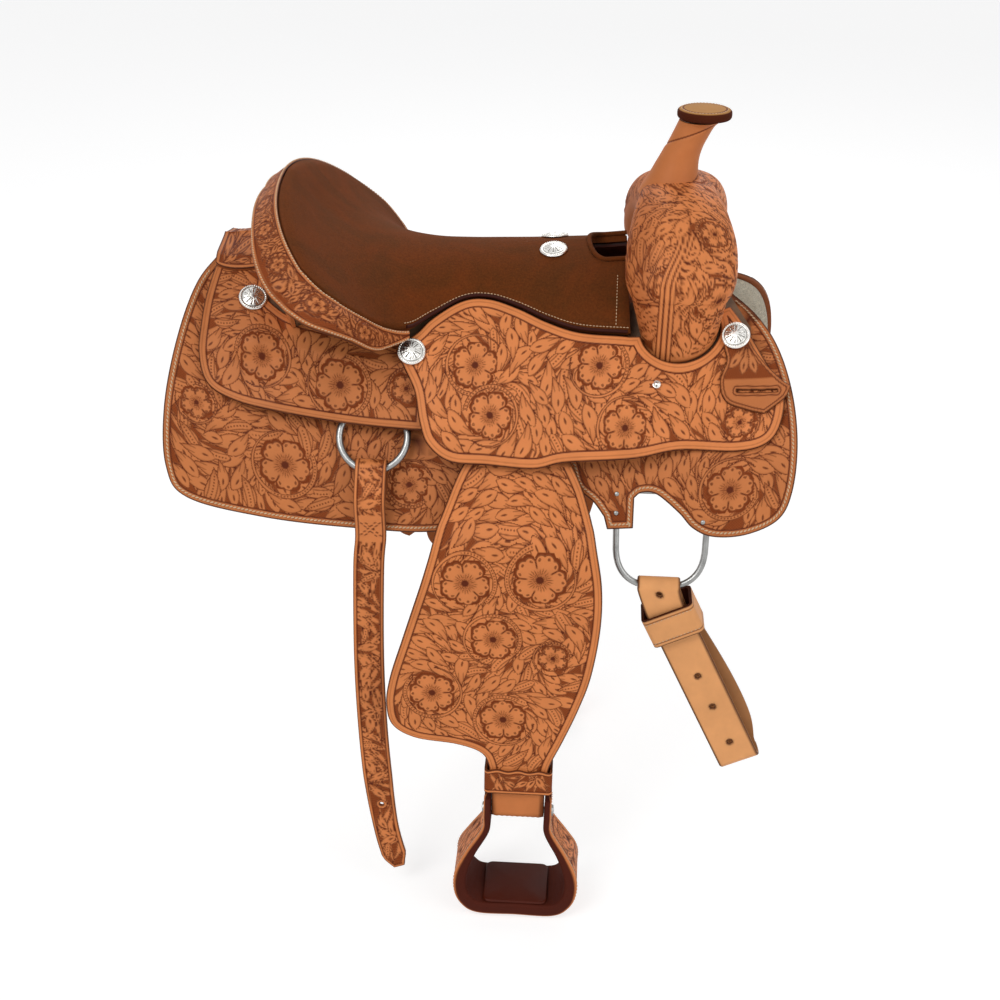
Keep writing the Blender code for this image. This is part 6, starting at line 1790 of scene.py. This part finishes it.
def engrave(node, suffix, radius, height, petals):
    """Lays an engraved shape where its plain solid stands; gives the solid's place."""
    middle, forward, side, axis = node_frame(node)
    rings, cut = concho_shell(radius, height, petals)
    lofted(node, rings @ np.stack([forward, side, axis]) + middle, (1.0, cut, 0.0), silver(), "silver", suffix=suffix)
    return middle, forward, side, axis


def make_conchos():
    for label in FLIPS:
        for place in ("rear", "mid", "front", "seat"):
            node = f"{label}_{place}_concho"
            middle, forward, side, axis = engrave(node, "_engraved", CONCHO_RADIUS, CONCHO_HEIGHT, 10)
            angle = turns(64)[:, None]
            reach = CONCHO_RADIUS * 0.885
            ring = middle + axis * 0.0021 + reach * (np.cos(angle) * forward + np.sin(angle) * side)
            repeats(node + "_beads", [(ring, np.tile(axis, (64, 1)), True)],
                    (0.0024, 0.0019, 0.0019, 0.0018, 0.0), silver(), "saddle")
        engrave(f"{label}_rosette_screw", "_head", 0.0045, 0.003, 2)


# Parts that stay as the solid model made them
def dress_tree():
    # The rawhide is painted a darker brown than its own colour, as painted shade for the tree seen in the hand hole.
    hide = look("rawhide_painted_shade_look", plain_grain, srgb(120, 88, 58), srgb(84, 58, 36), 60.0, 0.6, 0.0006)
    finishes = {"cantle": hide, "fork": hide, "horn": steel()}
    for label in FLIPS:
        finishes.update({f"{label}_bar": hide, f"{label}_stirrup_bolt": steel(), f"{label}_bar_strap": leather("dark")})
    for node, finish in finishes.items():
        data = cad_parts[node].data
        data.materials.clear()
        data.materials.append(finish)


# Stage
FLOOR_Z = -0.7005
FLOOR_HALF = 14.0
SCENE_MIDDLE = Vector((0.0, 0.0, -0.25))
LAMPS = (("key", (-1.6, -2.6, 2.4), 62.0, 1.8), ("fill", (2.4, -1.8, 1.2), 26.0, 2.0),
         ("back", (0.4, 2.4, 2.2), 34.0, 2.0))
CAMERA_AIM = Vector((0.0297, 0.0, -0.269))
CAMERA_AZIMUTH, CAMERA_LIFT, CAMERA_ROLL = (math.radians(degrees) for degrees in (3, 26.82, 1.0))
CAMERA_DISTANCE = 1.967
CAMERA_LENS = 58.608


def studio_white(nodes, shader):
    """White studio floor that still takes the saddle's shadow."""
    seen = nodes.seen()
    nodes.feed(shader, {
        'Emission Color': nodes.blend(seen, (0.0, 0.0, 0.0, 1.0), (0.72, 0.72, 0.72, 1.0)), 'Emission Strength': 1.0,
        'Base Color': nodes.blend(seen, (0.8, 0.8, 0.8, 1.0), (0.40, 0.40, 0.40, 1.0)), 'Roughness': 1.0})


def put_in_scene(name, data):
    made = bpy.data.objects.new(name, data)
    bpy.context.scene.collection.objects.link(made)
    return made


def make_stage():
    """Pale floor and backdrop, soft lights and the camera."""
    scene = bpy.context.scene
    corners = [(x * FLOOR_HALF, y * FLOOR_HALF, FLOOR_Z) for x, y in ((-1, -1), (1, -1), (1, 1), (-1, 1))]
    data = bpy.data.meshes.new("studio_floor")
    data.from_pydata(corners, [], [(0, 1, 2, 3)])
    data.materials.append(look("studio_white", studio_white))
    put_in_scene("studio_floor", data)
    scene.world = bpy.data.worlds.new("studio")
    scene.world.use_nodes = True
    nodes = Nodes(scene.world.node_tree)
    nodes.feed(nodes.tree.nodes["Background"], {'Color': (0.93, 0.93, 0.94, 1.0),
                                                'Strength': nodes.spread(nodes.seen(), 0.0, 1.0, 0.42, 1.0)})
    for name, place, energy, side in LAMPS:
        lamp = bpy.data.lights.new(name, 'AREA')
        lamp.energy, lamp.size = energy, side
        holder = put_in_scene(name, lamp)
        holder.location = place
        holder.rotation_euler = (SCENE_MIDDLE - Vector(place)).to_track_quat('-Z', 'Y').to_euler()
    lens = bpy.data.cameras.new("camera")
    lens.sensor_width, lens.lens = 36.0, CAMERA_LENS
    camera = put_in_scene("camera", lens)
    level = math.cos(CAMERA_LIFT)
    back = Vector((math.sin(CAMERA_AZIMUTH) * level, -math.cos(CAMERA_AZIMUTH) * level, math.sin(CAMERA_LIFT)))
    camera.location = CAMERA_AIM + back * CAMERA_DISTANCE
    camera.rotation_mode = 'QUATERNION'
    roll = Matrix.Rotation(CAMERA_ROLL, 3, 'Z').to_quaternion()
    camera.rotation_quaternion = back.to_track_quat('Z', 'Y') @ roll
    scene.camera = camera
    scene.view_settings.view_transform = 'Standard'


class SaddleSizes(bpy.types.PropertyGroup):
    relief: FloatProperty(name="Carving depth", description="Depth of the carving in the leather",
                          default=0.0007, min=0.0, max=0.0015, subtype='DISTANCE', unit='LENGTH')


def colour_property(name, description, red, green, blue):
    return FloatVectorProperty(name=name, description=description, subtype='COLOR', size=3, min=0.0, max=1.0,
                               default=srgb(red, green, blue)[:3])


class SaddleColours(bpy.types.PropertyGroup):
    tooled: colour_property("Tooled leather", "Raised parts of the carved leather", 220, 133, 76)
    # The ground and cut colours also paint the shade on the bevels of the carving.
    background: colour_property("Background", "Matted ground between the leaves", 128, 57, 18)
    cut: colour_property("Cuts", "Knife cuts and beveled lines", 92, 34, 6)
    plain: colour_property("Plain leather", "Cinch strap", 232, 164, 106)
    # The dark leather also stands for painted shade on the ground seat, in the hand hole.
    dark: colour_property("Dark leather", "Inside of the stirrups", 74, 24, 9)
    suede: colour_property("Suede", "Seat", 108, 51, 15)
    suede_worn: colour_property("Worn suede", "Soft patches of the seat", 88, 46, 14)
    fleece: colour_property("Fleece", "Wool under the skirts", 228, 216, 190)
    thread: colour_property("Thread", "Stitching and lacing", 226, 190, 150)


def in_turn(*makers):
    for make in makers:
        make()
    return {'FINISHED'}


class SADDLE_OT_fleeces(bpy.types.Operator):
    """Wool under the skirts"""
    bl_idname = "saddle.fleeces"
    bl_label = "Fleeces"

    def execute(self, context):
        return in_turn(make_fleeces)


class SADDLE_OT_skirts(bpy.types.Operator):
    """Carved skirts with their lacing and rivets"""
    bl_idname = "saddle.skirts"
    bl_label = "Skirts"

    def execute(self, context):
        return in_turn(make_skirts)


class SADDLE_OT_jockeys(bpy.types.Operator):
    """Rear and seat jockeys, housing and latigo keepers"""
    bl_idname = "saddle.jockeys"
    bl_label = "Jockeys"

    def execute(self, context):
        return in_turn(make_jockeys, make_keepers, make_housing)


class SADDLE_OT_seat(bpy.types.Operator):
    """Suede seat, ground seat, rolled edge and back of the cantle"""
    bl_idname = "saddle.seat"
    bl_label = "Seat"

    def execute(self, context):
        return in_turn(make_seat, make_roll, make_cantle_back)


class SADDLE_OT_fork(bpy.types.Operator):
    """Cover of the fork, wrapped horn and its cap"""
    bl_idname = "saddle.fork"
    bl_label = "Fork and horn"

    def execute(self, context):
        return in_turn(make_fork_cover, make_horn)


class SADDLE_OT_fenders(bpy.types.Operator):
    """Fenders, stirrup leathers and hobble straps"""
    bl_idname = "saddle.fenders"
    bl_label = "Fenders"

    def execute(self, context):
        return in_turn(make_fenders, make_stirrup_leathers, make_hobble_straps)


class SADDLE_OT_stirrups(bpy.types.Operator):
    """Stirrups with their stitching and tread pads"""
    bl_idname = "saddle.stirrups"
    bl_label = "Stirrups"

    def execute(self, context):
        return in_turn(make_stirrups)


class SADDLE_OT_rigging(bpy.types.Operator):
    """Dees, hangers, rear billets, cinch strap and its band"""
    bl_idname = "saddle.rigging"
    bl_label = "Rigging"

    def execute(self, context):
        return in_turn(make_dees, make_dee_hangers, make_rear_billets, make_cinch_strap, make_strap_band)


class SADDLE_OT_silver(bpy.types.Operator):
    """Conchos and rosette screws"""
    bl_idname = "saddle.silver"
    bl_label = "Silver"

    def execute(self, context):
        return in_turn(make_conchos)


class SADDLE_OT_tree(bpy.types.Operator):
    """Materials of the tree and of the small parts that keep their solid shape"""
    bl_idname = "saddle.tree"
    bl_label = "Tree"

    def execute(self, context):
        return in_turn(dress_tree)


class SADDLE_OT_stage(bpy.types.Operator):
    """Floor, lights and camera"""
    bl_idname = "saddle.stage"
    bl_label = "Stage"

    def execute(self, context):
        return in_turn(make_stage)


OPERATORS = (SADDLE_OT_stage, SADDLE_OT_tree, SADDLE_OT_fleeces, SADDLE_OT_skirts, SADDLE_OT_jockeys,
             SADDLE_OT_seat, SADDLE_OT_fork, SADDLE_OT_fenders, SADDLE_OT_stirrups, SADDLE_OT_rigging,
             SADDLE_OT_silver)


class SADDLE_PT_panel(bpy.types.Panel):
    """Lists the saddle's pieces and settings"""
    bl_label = "Western saddle"
    bl_idname = "SADDLE_PT_panel"
    bl_space_type = 'VIEW_3D'
    bl_region_type = 'UI'
    bl_category = "Saddle"

    def draw(self, context):
        for group in (context.scene.saddle_sizes, context.scene.saddle_colours):
            for name in group.__annotations__:
                self.layout.prop(group, name)
        for operator in OPERATORS:
            self.layout.operator(operator.bl_idname)


CLASSES = (SaddleSizes, SaddleColours) + OPERATORS + (SADDLE_PT_panel,)


def register():
    for item in CLASSES:
        bpy.utils.register_class(item)
    bpy.types.Scene.saddle_sizes = PointerProperty(type=SaddleSizes)
    bpy.types.Scene.saddle_colours = PointerProperty(type=SaddleColours)


def unregister():
    del bpy.types.Scene.saddle_colours
    del bpy.types.Scene.saddle_sizes
    for item in reversed(CLASSES):
        bpy.utils.unregister_class(item)


def main():
    register()
    for operator in OPERATORS:
        family, name = operator.bl_idname.split(".")
        getattr(getattr(bpy.ops, family), name)()


if __name__ == "__main__":
    main()
